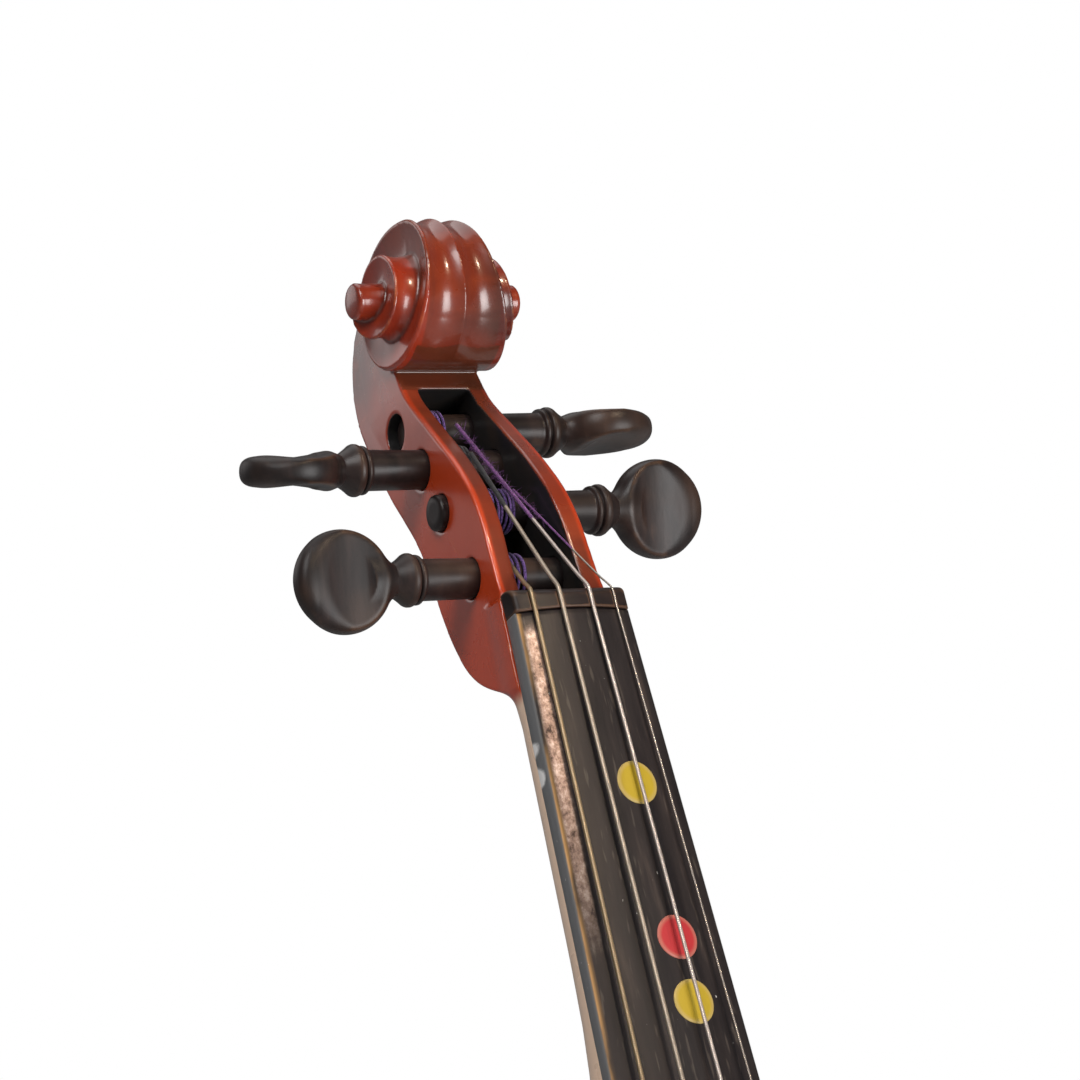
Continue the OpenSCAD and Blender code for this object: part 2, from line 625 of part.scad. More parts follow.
module tail_gut() {
    bend = button_neck_r + gut_r + 0.1;
    over = -half_rib - plate_t - saddle_rise - gut_r - 0.1;
    half = [from_tail([4, 1.2, tail_len - 5]), from_tail([4, -tail_t - 1.4, tail_len - 5]),
        [4, over, body_z + 4], [4.1, over, body_z - 0.3], [4.2, over + 0.7, gut_z + 0.1], [bend, 0, gut_z]];
    color("black") tube(concat(half,
        [for (a = [20 : 20 : 160]) [bend * cos(a), bend * sin(a), gut_z]],
        [for (k = [5 : -1 : 0]) [-half[k][0], half[k][1], half[k][2]]]), gut_r, [0, 0.5, 0.86]);
}
saddle_rise = 4.3;
module saddle() {
    color([0.1, 0.1, 0.1]) translate([-saddle_w / 2 + 0.05, -half_rib - plate_t - saddle_rise, body_z])
        cube([saddle_w - 0.1, plate_t + saddle_rise - 0.02, saddle_d - 0.05]);
}
button_head_r = 6;
button_head_l = 4.6;
module end_button() {
    color([0.1, 0.1, 0.1]) {
        cylinder(r = button_head_r, h = button_head_l);
        cylinder(r = button_neck_r, h = 11);
        translate([0, 0, 10]) cylinder(r = 5.6, h = body_z + overhang - 10);
        translate([0, 0, 11]) cylinder(r1 = 3.6, r2 = 3.1, h = 17);
    }
}
module end_button_hole() { translate([0, 0, 11]) cylinder(r1 = 3.64, r2 = 3.12, h = 18); }

// ---- chin rest ------------------------------------------------------------------------------
rest_low = half_rib + plate_t + 7.2;
module chin_rest() {
    outline = concat(
        curve([[-20, 8], [-12, 20], [-14, 50], [-22, 66]], 8),
        curve([[-22, 66], [-40, 82], [-80, 74], [-84, 44]], 8),
        curve([[-84, 44], [-84, 24], [-60, 2], [-44, 0]], 8),
        curve([[-44, 0], [-34, -1], [-26, 0], [-20, 8]], 6));
    color([0.07, 0.07, 0.07]) difference() {
        translate([0, 0, body_z]) union() {
            slab(-rest_low - 9, -rest_low) polygon(outline);
            slab(-rest_low, -half_rib - plate_t - 1.8) translate([-47, -1.5]) square([26, 9]);
        }
        translate([-50, -rest_low - 86, body_z + 40]) sphere(82, $fn = 96);
        on_front() arched_sheet(-4, plate_t + 1.6);
        for (x = barrel_x) translate([x, 0, barrel_z]) rotate([90, 0, 0]) cylinder(r = 1.45, h = rest_low - 0.2);
    }
}
barrel_x = [-42, -27];
barrel_z = 8.2;
barrel_half = 8.5;
module chin_rest_cork() {
    color("peru") difference() {
        body_slab(-half_rib - plate_t - 1.7, -half_rib - plate_t - 0.05) translate([-46, 2.6]) square([24, 4.6]);
        on_front() arched_sheet(-4, plate_t + 0.03);
    }
    color("peru") body_slab(half_rib + plate_t + 0.05, half_rib + plate_t + 1.7) translate([-46, 2.6]) square([24, 4.6]);
}
foot_y = half_rib + plate_t + 1.75;
module clamp_posts(from, to) {
    for (x = barrel_x) translate([x, to, barrel_z]) rotate([90, 0, 0]) cylinder(r = 1.4, h = to - from);
}
module chin_rest_posts() { color("silver") clamp_posts(-rest_low + 0.4, -barrel_half + 3); }
module chin_rest_foot() {
    color("silver") {
        translate([-46, foot_y, barrel_z - 2.4]) cube([23, 1.5, 12]);
        clamp_posts(barrel_half - 3, foot_y + 0.5);
    }
}
module chin_rest_barrel(i) {
    color("silver") translate([barrel_x[i], 0, barrel_z]) rotate([90, 0, 0]) difference() {
        cylinder(r = 2.9, h = 2 * barrel_half, center = true);
        cylinder(r = 1.45, h = 40, center = true);
        rotate([0, 90, 0]) cylinder(r = 0.7, h = 10, center = true);
    }
}

neck_and_scroll();
fingerboard();
nut();
saddle();
top_plate();
back_plate();
top_purfling();
back_purfling();
bass_bar();
sound_post();
upper_block();
end_block();
corner_blocks();
rib(-1, 2);  // rib_upper_bass
rib(1, 2);  // rib_upper_treble
rib(-1, 1);  // rib_waist_bass
rib(1, 1);  // rib_waist_treble
rib(-1, 0);  // rib_lower_bass
rib(1, 0);  // rib_lower_treble
linings(-half_rib, -half_rib + lining_h);  // front_linings
linings(half_rib - lining_h, half_rib);  // back_linings
bridge();
tailpiece();
tuner_pivot_pin();
tail_gut();
end_button();
chin_rest();
chin_rest_cork();
chin_rest_posts();
chin_rest_foot();
chin_rest_barrel(1);  // chin_rest_barrel_inner
chin_rest_barrel(0);  // chin_rest_barrel_outer
yellow_finger_dots();
red_finger_dot();
for (i = [0 : 3]) {
    peg(i);
    silk_winding(i);
    string(i);
    tuner_lever(i);
    tuner_screw(i);
    ball_end(i);
}
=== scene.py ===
"""A half-size violin seen from below its scroll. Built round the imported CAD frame."""
import json
import math

import bmesh
import bpy
import numpy as np
from mathutils import Matrix, Vector


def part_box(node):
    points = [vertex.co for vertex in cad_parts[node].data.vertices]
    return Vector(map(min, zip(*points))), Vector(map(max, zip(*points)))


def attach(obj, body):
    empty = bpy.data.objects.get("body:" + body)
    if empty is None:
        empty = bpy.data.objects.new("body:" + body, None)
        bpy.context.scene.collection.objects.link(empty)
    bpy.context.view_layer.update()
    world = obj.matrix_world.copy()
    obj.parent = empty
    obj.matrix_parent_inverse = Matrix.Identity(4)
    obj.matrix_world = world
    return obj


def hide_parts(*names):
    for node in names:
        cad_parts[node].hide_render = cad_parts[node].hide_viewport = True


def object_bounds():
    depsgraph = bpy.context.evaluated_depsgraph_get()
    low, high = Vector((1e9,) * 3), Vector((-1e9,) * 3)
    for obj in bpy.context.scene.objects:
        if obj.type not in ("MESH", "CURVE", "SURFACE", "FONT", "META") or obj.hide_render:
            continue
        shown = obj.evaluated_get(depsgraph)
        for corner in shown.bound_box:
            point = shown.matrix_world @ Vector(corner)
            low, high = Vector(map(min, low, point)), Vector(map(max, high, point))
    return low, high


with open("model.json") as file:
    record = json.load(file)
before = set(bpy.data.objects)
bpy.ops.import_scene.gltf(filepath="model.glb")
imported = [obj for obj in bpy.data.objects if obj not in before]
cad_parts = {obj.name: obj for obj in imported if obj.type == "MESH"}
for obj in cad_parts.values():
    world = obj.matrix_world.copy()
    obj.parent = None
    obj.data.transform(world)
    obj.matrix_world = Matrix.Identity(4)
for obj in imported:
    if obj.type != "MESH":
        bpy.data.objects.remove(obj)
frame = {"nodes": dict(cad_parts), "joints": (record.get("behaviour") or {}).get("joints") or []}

cad_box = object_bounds()
MM = 0.001
ROOT = "violin"
NAMES = ["g", "d", "a", "e"]
STRING_D = [0.8, 0.8, 0.68, 0.36]
joints = {j["name"]: j for j in frame["joints"]}
rng = np.random.default_rng(7)


def joint_at(name):
    return Vector(joints[name]["pos_m"])


# ---- the frame's sizes
# Peg axes in the head's own frame (mm): origin on the board's top at the nut, +Z up, +Y behind.
PEG_AT = {"g": (15.4, 13.7), "d": (25.3, 39.8), "a": (32.0, 50.4), "e": (21.4, 29.3)}
PEG_SIDE = {"g": -1, "d": -1, "a": 1, "e": 1}
PEG_TAPER = 0.0135


def head_matrix():
    g, a = joint_at("peg_g_turn"), joint_at("peg_a_turn")
    (gy, gz), (ay, az) = PEG_AT["g"], PEG_AT["a"]
    tilt = math.atan2(az - gz, ay - gy) - math.atan2(a.z - g.z, a.y - g.y)
    turn = Matrix.Rotation(-tilt, 4, "X")
    return Matrix.Translation(g - turn @ Vector((0, gy * MM, gz * MM))) @ turn, tilt


HEAD, TILT = head_matrix()
to_head = HEAD.inverted()


def in_head(p):
    """A row-frame point (m) in the head's frame, in mm."""
    return np.array(to_head @ Vector(p)) / MM


def box_mm(node):
    low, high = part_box(node)
    return np.array(low) / MM, np.array(high) / MM


PURFLING_IN = 3.4
OVERHANG = 2.5
PLATE_T = 3.2
purf_low, purf_high = box_mm("back_purfling")
BODY_Z = purf_low[2] - PURFLING_IN
BODY_L = purf_high[2] - purf_low[2] + 2 * PURFLING_IN
LOWER = (purf_high[0] - purf_low[0]) / 2 + PURFLING_IN
UPPER = box_mm("rib_upper_treble")[1][0] + OVERHANG
WAIST = box_mm("rib_waist_treble")[0][0] + OVERHANG + 1.2
HALF_RIB = box_mm("rib_lower_bass")[1][1]
ARCH = box_mm("back_plate")[1][1] - HALF_RIB
STOP_Z = sum(box_mm("bridge")[i][2] for i in (0, 1)) / 2
NUT_HALF = (box_mm("nut")[1][0] - box_mm("nut")[0][0]) / 2 + 0.05
BOARD_R = 39.0
BOARD_UNDER = 5.26
BOARD_TAPER = 0.0345
BOARD_LEN = 234.0


# ---- fields and meshes
def unit(values):
    return np.clip(values, 0, 1)


def axis_of(low, high, step):
    return np.arange(low, high + step, step, dtype=np.float32)


def grid(low, high, step):
    x, y, z = (axis_of(a, b, step) for a, b in zip(low, high))
    return x[:, None, None], y[None, :, None], z[None, None, :]


def smax(a, b, k):
    """The larger of two fields, with the edge where they meet rounded over about k."""
    h = np.clip(k - np.abs(a - b), 0, None) / k
    return np.maximum(a, b) + h * h * k * 0.25


def smin(a, b, k):
    return -smax(-a, -b, k)


def chamfer(a, b, c):
    return np.maximum(np.maximum(a, b), (a + b) * 0.7071 + c)


def skin(field, low, step):
    """The surface where a sampled field is zero, as points and quads, by surface nets."""
    solid = field < 0
    corners = [(a, b, c) for a in (0, 1) for b in (0, 1) for c in (0, 1)]
    size = [n - 1 for n in field.shape]
    filled = np.zeros(size, np.int8)
    for a, b, c in corners:
        filled += solid[a : a + size[0], b : b + size[1], c : c + size[2]]
    cells = np.argwhere((filled > 0) & (filled < 8))
    number = np.full(size, -1, np.int32)
    number[tuple(cells.T)] = np.arange(len(cells))
    value = {c: field[tuple((cells + c).T)] for c in corners}
    total, count = np.zeros((len(cells), 3)), np.zeros(len(cells))
    for c in corners:
        for axis in range(3):
            if c[axis]:
                continue
            far = tuple(1 if k == axis else c[k] for k in range(3))
            cross = (value[c] < 0) != (value[far] < 0)
            point = np.tile(np.array(c, float), (cross.sum(), 1))
            point[:, axis] = (value[c] / np.where(cross, value[c] - value[far], 1))[cross]
            total[cross] += point
            count += cross
    points = np.array(low) + step * (cells + total / count[:, None])
    quads = []
    for axis in range(3):
        u, v = (axis + 1) % 3, (axis + 2) % 3
        near = np.take(solid, range(size[axis]), axis)
        far = np.take(solid, range(1, size[axis] + 1), axis)
        edges = np.argwhere(near != far)
        inside = (edges[:, u] > 0) & (edges[:, v] > 0) & (edges[:, u] < size[u]) & (edges[:, v] < size[v])
        edges = edges[inside]
        du, dv = np.eye(3, dtype=int)[u], np.eye(3, dtype=int)[v]
        ring = [edges - du - dv, edges - dv, edges, edges - du]
        quad = np.stack([number[tuple(r.T)] for r in ring], 1)
        outward = near[tuple(edges.T)]
        quads.append(np.where(outward[:, None], quad, quad[:, ::-1]))
    return points, np.concatenate(quads)


def make_mesh(name, points, faces):
    mesh = bpy.data.meshes.new(name)
    faces = np.asarray(faces)
    n, k = faces.shape
    mesh.vertices.add(len(points))
    mesh.vertices.foreach_set("co", (np.asarray(points, float) * MM).ravel())
    mesh.loops.add(n * k)
    mesh.loops.foreach_set("vertex_index", faces.ravel().astype(np.int32))
    mesh.polygons.add(n)
    mesh.polygons.foreach_set("loop_start", (np.arange(n) * k).astype(np.int32))
    mesh.polygons.foreach_set("use_smooth", np.ones(n, bool))
    mesh.update(calc_edges=True)
    mesh.validate()
    return mesh


def piece(name, mesh, material, body, nodes, place=None):
    obj = bpy.data.objects.new(name, mesh)
    bpy.context.scene.collection.objects.link(obj)
    if place is not None:
        mesh.transform(place)
    mesh.materials.append(material)
    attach(obj, body)
    if nodes:
        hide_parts(*nodes)
    return obj


def ring_quads(rows, sides):
    """The quads between rows of points, each row a closed ring."""
    i, k = np.meshgrid(np.arange(rows - 1) * sides, np.arange(sides), indexing="ij")
    after = (k + 1) % sides
    return np.stack([i + k, i + after, i + sides + after, i + sides + k], -1).reshape(-1, 4)


def attribute(mesh, name, values):
    layer = mesh.attributes.new(name, "FLOAT", "POINT")
    layer.data.foreach_set("value", np.asarray(values, np.float32))


def wear_values(points, faces, step):
    """How sharply each point of a skin stands out (above 0) or lies in a hollow (below 0)."""
    a, b = faces.ravel(), np.roll(faces, -1, axis=1).ravel()
    n = len(points)
    near = np.maximum(np.bincount(a, minlength=n), 1)

    def average(values):
        return np.bincount(a, values[b], n) / near

    cross = np.cross(points[faces[:, 2]] - points[faces[:, 0]], points[faces[:, 3]] - points[faces[:, 1]])
    normal = np.stack([np.bincount(a, np.repeat(cross[:, k], 4), n) for k in range(3)], 1)
    normal /= np.linalg.norm(normal, axis=1)[:, None] + 1e-9
    pull = np.stack([average(points[:, k]) for k in range(3)], 1) - points
    wear = -(pull * normal).sum(axis=1) / step**2
    for _ in range(4):
        wear = average(wear)
    return wear


def skinned(name, field, low, step):
    """A field's skin as a mesh that carries its wear, and the mesh's points."""
    points, faces = skin(field.astype(np.float32), low, step)
    mesh = make_mesh(name, points, faces)
    attribute(mesh, "wear", wear_values(points, faces, step))
    return mesh, points


def joined(*meshes):
    """Points and faces of several meshes as one."""
    points, faces, start = [], [], 0
    for p, f in meshes:
        points.append(np.asarray(p, float))
        faces.append(np.asarray(f) + start)
        start += len(p)
    return np.concatenate(points), np.concatenate(faces)


def spline(points, per):
    """A smooth curve through the points, in that many steps from each to the next."""
    p = np.array(points, float)
    p = np.vstack([2 * p[0] - p[1], p, 2 * p[-1] - p[-2]])
    t = np.arange(per)[:, None] / per
    out = []
    for a, b, c, d in zip(p, p[1:], p[2:], p[3:]):
        bends = (2 * a - 5 * b + 4 * c - d) * t**2 + (3 * b - a - 3 * c + d) * t**3
        out.append(0.5 * (2 * b + (c - a) * t + bends))
    return np.concatenate([*out, p[-2:-1]])


def tube(path, radius, sides, cap=True):
    """A round rod along a path, as points and quads."""
    path = np.array(path, float)
    n = len(path)
    radius = np.broadcast_to(radius, n)
    along = np.gradient(path, axis=0)
    along /= np.linalg.norm(along, axis=1)[:, None]
    u = np.cross(along[0], [0.3, 0.2, 0.9])
    rings = []
    for i in range(n):
        u = u - along[i] * np.dot(u, along[i])
        u /= np.linalg.norm(u)
        v = np.cross(along[i], u)
        a = np.arange(sides) * 2 * math.pi / sides
        rings.append(path[i] + radius[i] * (np.cos(a)[:, None] * u + np.sin(a)[:, None] * v))
    points = np.concatenate(rings)
    faces = ring_quads(n, sides)
    if cap:
        for end, order in ((0, -1), (n - 1, 1)):
            centre = len(points)
            points = np.vstack([points, path[end]])
            k = np.arange(0, sides, 2)
            ring = [end * sides + k, end * sides + (k + 1) % sides, end * sides + (k + 2) % sides]
            fan = np.stack([np.full(len(k), centre), *ring], 1)
            faces = np.vstack([faces, fan[:, ::order]])
    return points, faces


def lathe(profile, sides=72):
    """A turned solid about +Z from (height, radius) points; its ends close on the axis."""
    profile = np.array(profile, float)
    a = np.arange(sides) * 2 * math.pi / sides
    h, r = profile[:, 0:1], np.maximum(profile[:, 1:2], 1e-3)
    points = np.stack([r * np.cos(a), r * np.sin(a), h + 0 * a], -1).reshape(-1, 3)
    return points, ring_quads(len(profile), sides)


def moved(shape, matrix):
    points, faces = shape
    m = np.array(matrix)
    return points @ m[:3, :3].T + m[:3, 3], faces


def polygon_distance(px, py, polygon):
    """Signed distance to a closed polygon, negative inside, at every point of two arrays."""
    best = np.full(px.shape, 1e9, np.float32)
    inside = np.zeros(px.shape, bool)
    q = np.roll(polygon, -1, axis=0)
    for (ax, ay), (bx, by) in zip(polygon, q):
        ex, ey = bx - ax, by - ay
        wx, wy = px - ax, py - ay
        t = unit((wx * ex + wy * ey) / (ex * ex + ey * ey + 1e-12))
        best = np.minimum(best, (wx - t * ex) ** 2 + (wy - t * ey) ** 2)
        if ay != by:
            spans = (py >= min(ay, by)) & (py < max(ay, by))
            inside ^= spans & (px < ax + (py - ay) / (by - ay) * ex)
    return np.sqrt(best) * np.where(inside, -1, 1)


# ---- materials
def add_node(tree, kind, inputs, **settings):
    """A new node. Each input takes another node's output or a plain value."""
    node = tree.nodes.new(kind)
    for key, value in settings.items():
        setattr(node, key, value)
    for key, value in inputs.items():
        socket = node.inputs[key]
        if isinstance(value, bpy.types.NodeSocket):
            tree.links.new(value, socket)
        else:
            is_colour = isinstance(value, tuple) and socket.type == "RGBA"
            socket.default_value = (*value, 1) if is_colour else value
    return node


class Paint:
    """A material's node tree, written as nested calls. Its colour is laid on in coats."""

    def __init__(self, name, **shader):
        self.material = bpy.data.materials.new(name)
        self.material.use_nodes = True
        self.tree = self.material.node_tree
        self.shader = self.tree.nodes["Principled BSDF"]
        self.set(**shader)
        self.coords = self.tree.nodes.new("ShaderNodeTexCoord").outputs["Object"]
        self.colour = None

    def set(self, **values):
        for key, value in values.items():
            socket = self.shader.inputs[key.replace("_", " ")]
            if isinstance(value, bpy.types.NodeSocket):
                self.tree.links.new(value, socket)
            else:
                socket.default_value = (*value, 1) if isinstance(value, tuple) else value

    def node(self, kind, inputs, out=0, **settings):
        return add_node(self.tree, kind, inputs, **settings).outputs[out]

    def noise(self, scale, stretch=(1, 1, 1), detail=4, rough=0.55, twist=0.0):
        where = self.node("ShaderNodeMapping", {"Vector": self.coords, "Scale": stretch})
        inputs = {"Vector": where, "Scale": scale, "Detail": detail, "Roughness": rough, "Distortion": twist}
        return self.node("ShaderNodeTexNoise", inputs, "Fac")

    def ramp(self, fac, *stops):
        node = add_node(self.tree, "ShaderNodeValToRGB", {"Fac": fac})
        band = node.color_ramp
        while len(band.elements) < len(stops):
            band.elements.new(0.5)
        for element, (at, colour) in zip(band.elements, stops):
            element.position = at
            element.color = (*colour, 1) if isinstance(colour, tuple) else (colour, colour, colour, 1)
        return node.outputs["Color"]

    def mix(self, fac, a, b):
        return self.node("ShaderNodeMix", {0: fac, 6: a, 7: b}, 2, data_type="RGBA")

    def calc(self, how, a, b=0.5):
        return self.node("ShaderNodeMath", {0: a, 1: b}, operation=how)

    def times(self, a, b):
        return self.calc("MULTIPLY", a, b)

    def span(self, value, low, high):
        """0 below low, 1 above high, smooth between."""
        inputs = {"Value": value, "From Min": low, "From Max": high}
        return self.node("ShaderNodeMapRange", inputs, interpolation_type="SMOOTHSTEP")

    def layer(self, name):
        """One of the mesh's float layers; 0 where the mesh has none of that name."""
        return self.node("ShaderNodeAttribute", {}, "Fac", attribute_name=name)

    def coat(self, colour, mask, share=None):
        """Lays a colour over those before it, where the mask is 1."""
        if share is not None:
            mask = self.times(mask, share)
        self.colour = self.mix(mask, self.colour, colour)

    def done(self, height, strength, distance=0.0002, **values):
        """Sets the colour, the bump and the last values, and hands over the material."""
        inputs = {"Height": height, "Strength": strength, "Distance": distance}
        self.set(Base_Color=self.colour, Normal=self.node("ShaderNodeBump", inputs), **values)
        return self.material


def darker(colour, share):
    return tuple(share * c for c in colour)


def head_varnish():
    """Orange-red varnish over flamed maple: redder low down as painted light, with wear at the edges, unvarnished
    at the grip with its pale wood partly painted light, and painted shade inside the pegbox, on the cheeks' front
    faces and in the throat.
    """
    p = Paint("head_varnish", IOR=1.48, Coat_Weight=0.55, Coat_Roughness=0.12)
    deep = (0.055, 0.009, 0.007)
    p.colour = p.mix(p.span(p.noise(26, detail=3), 0.38, 0.62), deep, (0.26, 0.025, 0.009))
    flame = p.noise(90, (0.25, 1.0, 1.6), detail=3, twist=0.6)
    p.coat((0.44, 0.064, 0.013), p.span(flame, 0.45, 0.75), 0.35)
    fine = p.noise(420, (1, 1, 0.12), detail=2)
    p.coat(darker(deep, 0.55), p.span(fine, 0.5, 0.8), 0.22)
    # Painted light: the cheeks are painted more saturated low down and on the bass side; over the neck this coat
    # is the varnish's own tone, and round the eyes it is wear.
    p.coat((0.50, 0.048, 0.009), p.layer("orange"), 0.85)
    wear = p.layer("wear")
    patchy = p.span(p.noise(240, detail=5), 0.42, 0.66)
    p.coat((0.56, 0.17, 0.045), p.times(p.span(wear, 0.20, 0.50), patchy), 0.75)
    # Darker brown in the hollows.
    p.coat((0.05, 0.012, 0.008), p.span(wear, -0.03, -0.20), 0.65)
    specks = p.noise(3200, detail=1)
    p.coat((0.50, 0.36, 0.26), p.span(specks, 0.765, 0.79), 0.4)
    # Painted shade: darker brown on the cheeks' front faces and in the throat under the scroll.
    p.coat((0.070, 0.024, 0.010), p.layer("dull"), 0.75)
    # Partly painted light: the grip's unvarnished maple is painted pale to stand in for bright light on the neck.
    ragged = p.calc("ADD", p.layer("bare"), p.times(p.noise(150, detail=4), 0.5))
    p.coat((0.86, 0.62, 0.45), p.span(ragged, 0.50, 1.05))
    # Painted shade: near black inside the pegbox and the peg holes, mottled with a faint brown.
    stain = p.layer("stain")
    shade_mottle = p.span(p.noise(160, (1, 1, 0.4)), 0.4, 0.75)
    p.coat(p.mix(shade_mottle, (0.0030, 0.0024, 0.0024), (0.016, 0.008, 0.004)), stain)
    rough = p.mix(stain, p.ramp(p.noise(60), (0.3, 0.24), (0.7, 0.36)), (0.72, 0.72, 0.72))
    return p.done(p.noise(180, detail=3), 0.16, Roughness=rough)


def plate_varnish(name, flamed):
    """The body's varnish, with the purfling line and darker borders."""
    p = Paint(name, IOR=1.5, Coat_Weight=0.4, Coat_Roughness=0.12)
    if flamed:
        figure = p.noise(70, (0.18, 1, 1.8), detail=3, twist=0.9)
        stops = (0.3, (0.16, 0.028, 0.010)), (0.52, (0.34, 0.070, 0.016)), (0.72, (0.50, 0.125, 0.028))
    else:
        figure = p.noise(1000, (1, 1, 0.008), detail=2, rough=0.4)
        stops = (0.34, (0.30, 0.062, 0.016)), (0.5, (0.42, 0.100, 0.023)), (0.68, (0.50, 0.140, 0.034))
    p.colour = p.ramp(figure, *stops)
    p.coat((0.20, 0.030, 0.010), p.span(p.noise(9, detail=2), 0.3, 0.7), 0.35)
    edge = p.layer("edge")
    p.coat((0.10, 0.018, 0.008), p.span(edge, 7.5, 1.0), 0.5)
    line = p.calc("ABSOLUTE", p.calc("SUBTRACT", edge, PURFLING_IN + 0.5))
    p.coat((0.012, 0.008, 0.006), p.span(line, 0.62, 0.52))
    p.coat((0.42, 0.20, 0.07), p.span(line, 0.24, 0.16), 0.9)
    p.coat((0.60, 0.22, 0.06), p.span(p.layer("wear"), 0.10, 0.25), 0.5)
    rough = p.ramp(p.noise(45), (0.3, 0.2), (0.7, 0.32))
    return p.done(p.noise(300, (1, 1, 0.05)), 0.08, Roughness=rough)


def ebony(name, brown=0.35, rough=(0.30, 0.48), streak=(1, 1, 0.06)):
    """Near-black hardwood with brown streaks and open pores."""
    p = Paint(name, IOR=1.5, Specular_IOR_Level=0.28)
    streaks = p.noise(240, streak, detail=4, rough=0.6)
    stops = (0.42, (0.011, 0.008, 0.008)), (0.62, (0.023, 0.015, 0.014)), (0.8, (0.058, 0.034, 0.025))
    p.colour = p.ramp(streaks, *stops)
    p.coat((0.085, 0.046, 0.028), p.span(p.noise(70, detail=2), 0.42, 0.75), brown)
    p.coat((0.13, 0.065, 0.035), p.span(p.layer("wear"), 0.08, 0.26), 0.5)
    pores = p.noise(1100, (1, 1, 0.10), detail=2)
    rough = p.ramp(p.noise(90, streak), (0.3, rough[0]), (0.7, rough[1]))
    return p.done(pores, 0.14, 0.00012, Roughness=rough)


def board_wood():
    """The fingerboard: ebony with a coppery strip under the lowest string, partly wood rubbed through its dye and
    partly a painted reflection of the light from the left.
    """
    p = Paint("board_wood", IOR=1.5, Specular_IOR_Level=0.27)
    streaks = p.noise(240, (1, 1, 0.035), detail=4, rough=0.6)
    stops = (0.40, (0.012, 0.0095, 0.010)), (0.60, (0.022, 0.017, 0.0165)), (0.78, (0.055, 0.040, 0.034))
    p.colour = p.ramp(streaks, *stops)
    pores = p.noise(1000, (1, 1, 0.08), detail=2)
    p.coat((0.075, 0.060, 0.050), p.span(pores, 0.60, 0.72), 0.55)
    # Partly painted reflection: the coppery strip is wood rubbed through its dye plus the light from the left
    # reflected, darkening down the board as painted shade.
    worn = p.layer("worn")
    mottle = p.noise(620, (1, 1, 0.7), detail=5, rough=0.75)
    stops = (0.34, (0.08, 0.045, 0.035)), (0.50, (0.36, 0.24, 0.19)), (0.68, (0.76, 0.61, 0.53))
    p.coat(p.ramp(mottle, *stops), worn, p.span(mottle, 0.20, 0.42))
    p.coat((0.50, 0.27, 0.09), p.layer("rim"), p.span(p.noise(260, (1, 1, 0.2)), 0.3, 0.6))
    # Painted reflection: the board's sides are painted a bluish grey.
    p.coat((0.14, 0.142, 0.146), p.layer("side"))
    dried = p.calc("ADD", p.layer("glue"), p.times(p.noise(300, detail=3), 0.4))
    p.coat((0.84, 0.83, 0.82), p.span(dried, 0.62, 0.86))
    p.coat((0.55, 0.53, 0.50), p.span(p.noise(1300, (1, 1, 0.5), detail=2), 0.755, 0.79), 0.8)
    rough = p.ramp(p.noise(80, (1, 1, 0.1)), (0.3, 0.34), (0.7, 0.50))
    rough = p.mix(p.times(worn, 0.8), rough, (0.26, 0.26, 0.26))
    relief = p.mix(worn, pores, mottle)
    return p.done(relief, 0.22, 0.00012, Roughness=rough, Metallic=p.times(worn, 0.2))


def metal(name, colour, rough):
    p = Paint(name, Metallic=1.0, Roughness=rough)
    p.colour = p.mix(p.span(p.noise(700, detail=3), 0.3, 0.7), darker(colour, 0.82), colour)
    return p.done(p.noise(1500, (1, 1, 0.3)), 0.08, 0.00005)


def wound_string(name, colour, rough=0.35):
    """Fine metal ribbon wound round a core, its turns showing as a soft ripple."""
    p = Paint(name, Metallic=0.55, Roughness=rough)
    inputs = {"Vector": p.coords, "Scale": 900.0, "Distortion": 0.2, "Detail": 1.0}
    turns = p.node("ShaderNodeTexWave", inputs, "Fac", bands_direction="Z")
    tone = p.span(p.noise(120, (1, 1, 0.15)), 0.35, 0.7)
    p.colour = p.mix(p.times(tone, 0.45), colour, darker(colour, 0.55))
    p.coat(darker(colour, 0.6), turns, 0.25)
    return p.done(turns, 0.25, 0.00005)


def silk(name, colour, light):
    p = Paint(name, Roughness=0.8, Sheen_Weight=0.15, Sheen_Roughness=0.5)
    fibre = p.noise(2600, detail=3, rough=0.7)
    p.colour = p.mix(p.span(fibre, 0.38, 0.66), colour, light)
    return p.done(fibre, 0.5, 0.0001)


def bare_wood(name, pale, dark, stretch=(1, 1, 0.05), rough=0.6):
    p = Paint(name, Roughness=rough)
    grain = p.noise(260, stretch)
    p.colour = p.mix(p.span(grain, 0.4, 0.7), pale, dark)
    return p.done(grain, 0.12)


def sticker(name, colour, shade):
    """Matt printed vinyl with the board's grain showing through."""
    p = Paint(name, Roughness=0.42, IOR=1.45)
    grain = p.noise(420, (1, 1, 0.06), detail=3)
    p.colour = p.mix(p.times(p.span(grain, 0.45, 0.7), 0.55), colour, shade)
    p.coat((0.40, 0.31, 0.21), p.layer("rim"), 0.30)
    return p.done(grain, 0.3, 0.00015)


def plastic(name, colour, rough):
    p = Paint(name, Roughness=rough)
    p.colour = p.mix(p.span(p.noise(300, detail=3), 0.3, 0.7), colour, darker(colour, 1.5))
    return p.done(p.noise(900), 0.05)


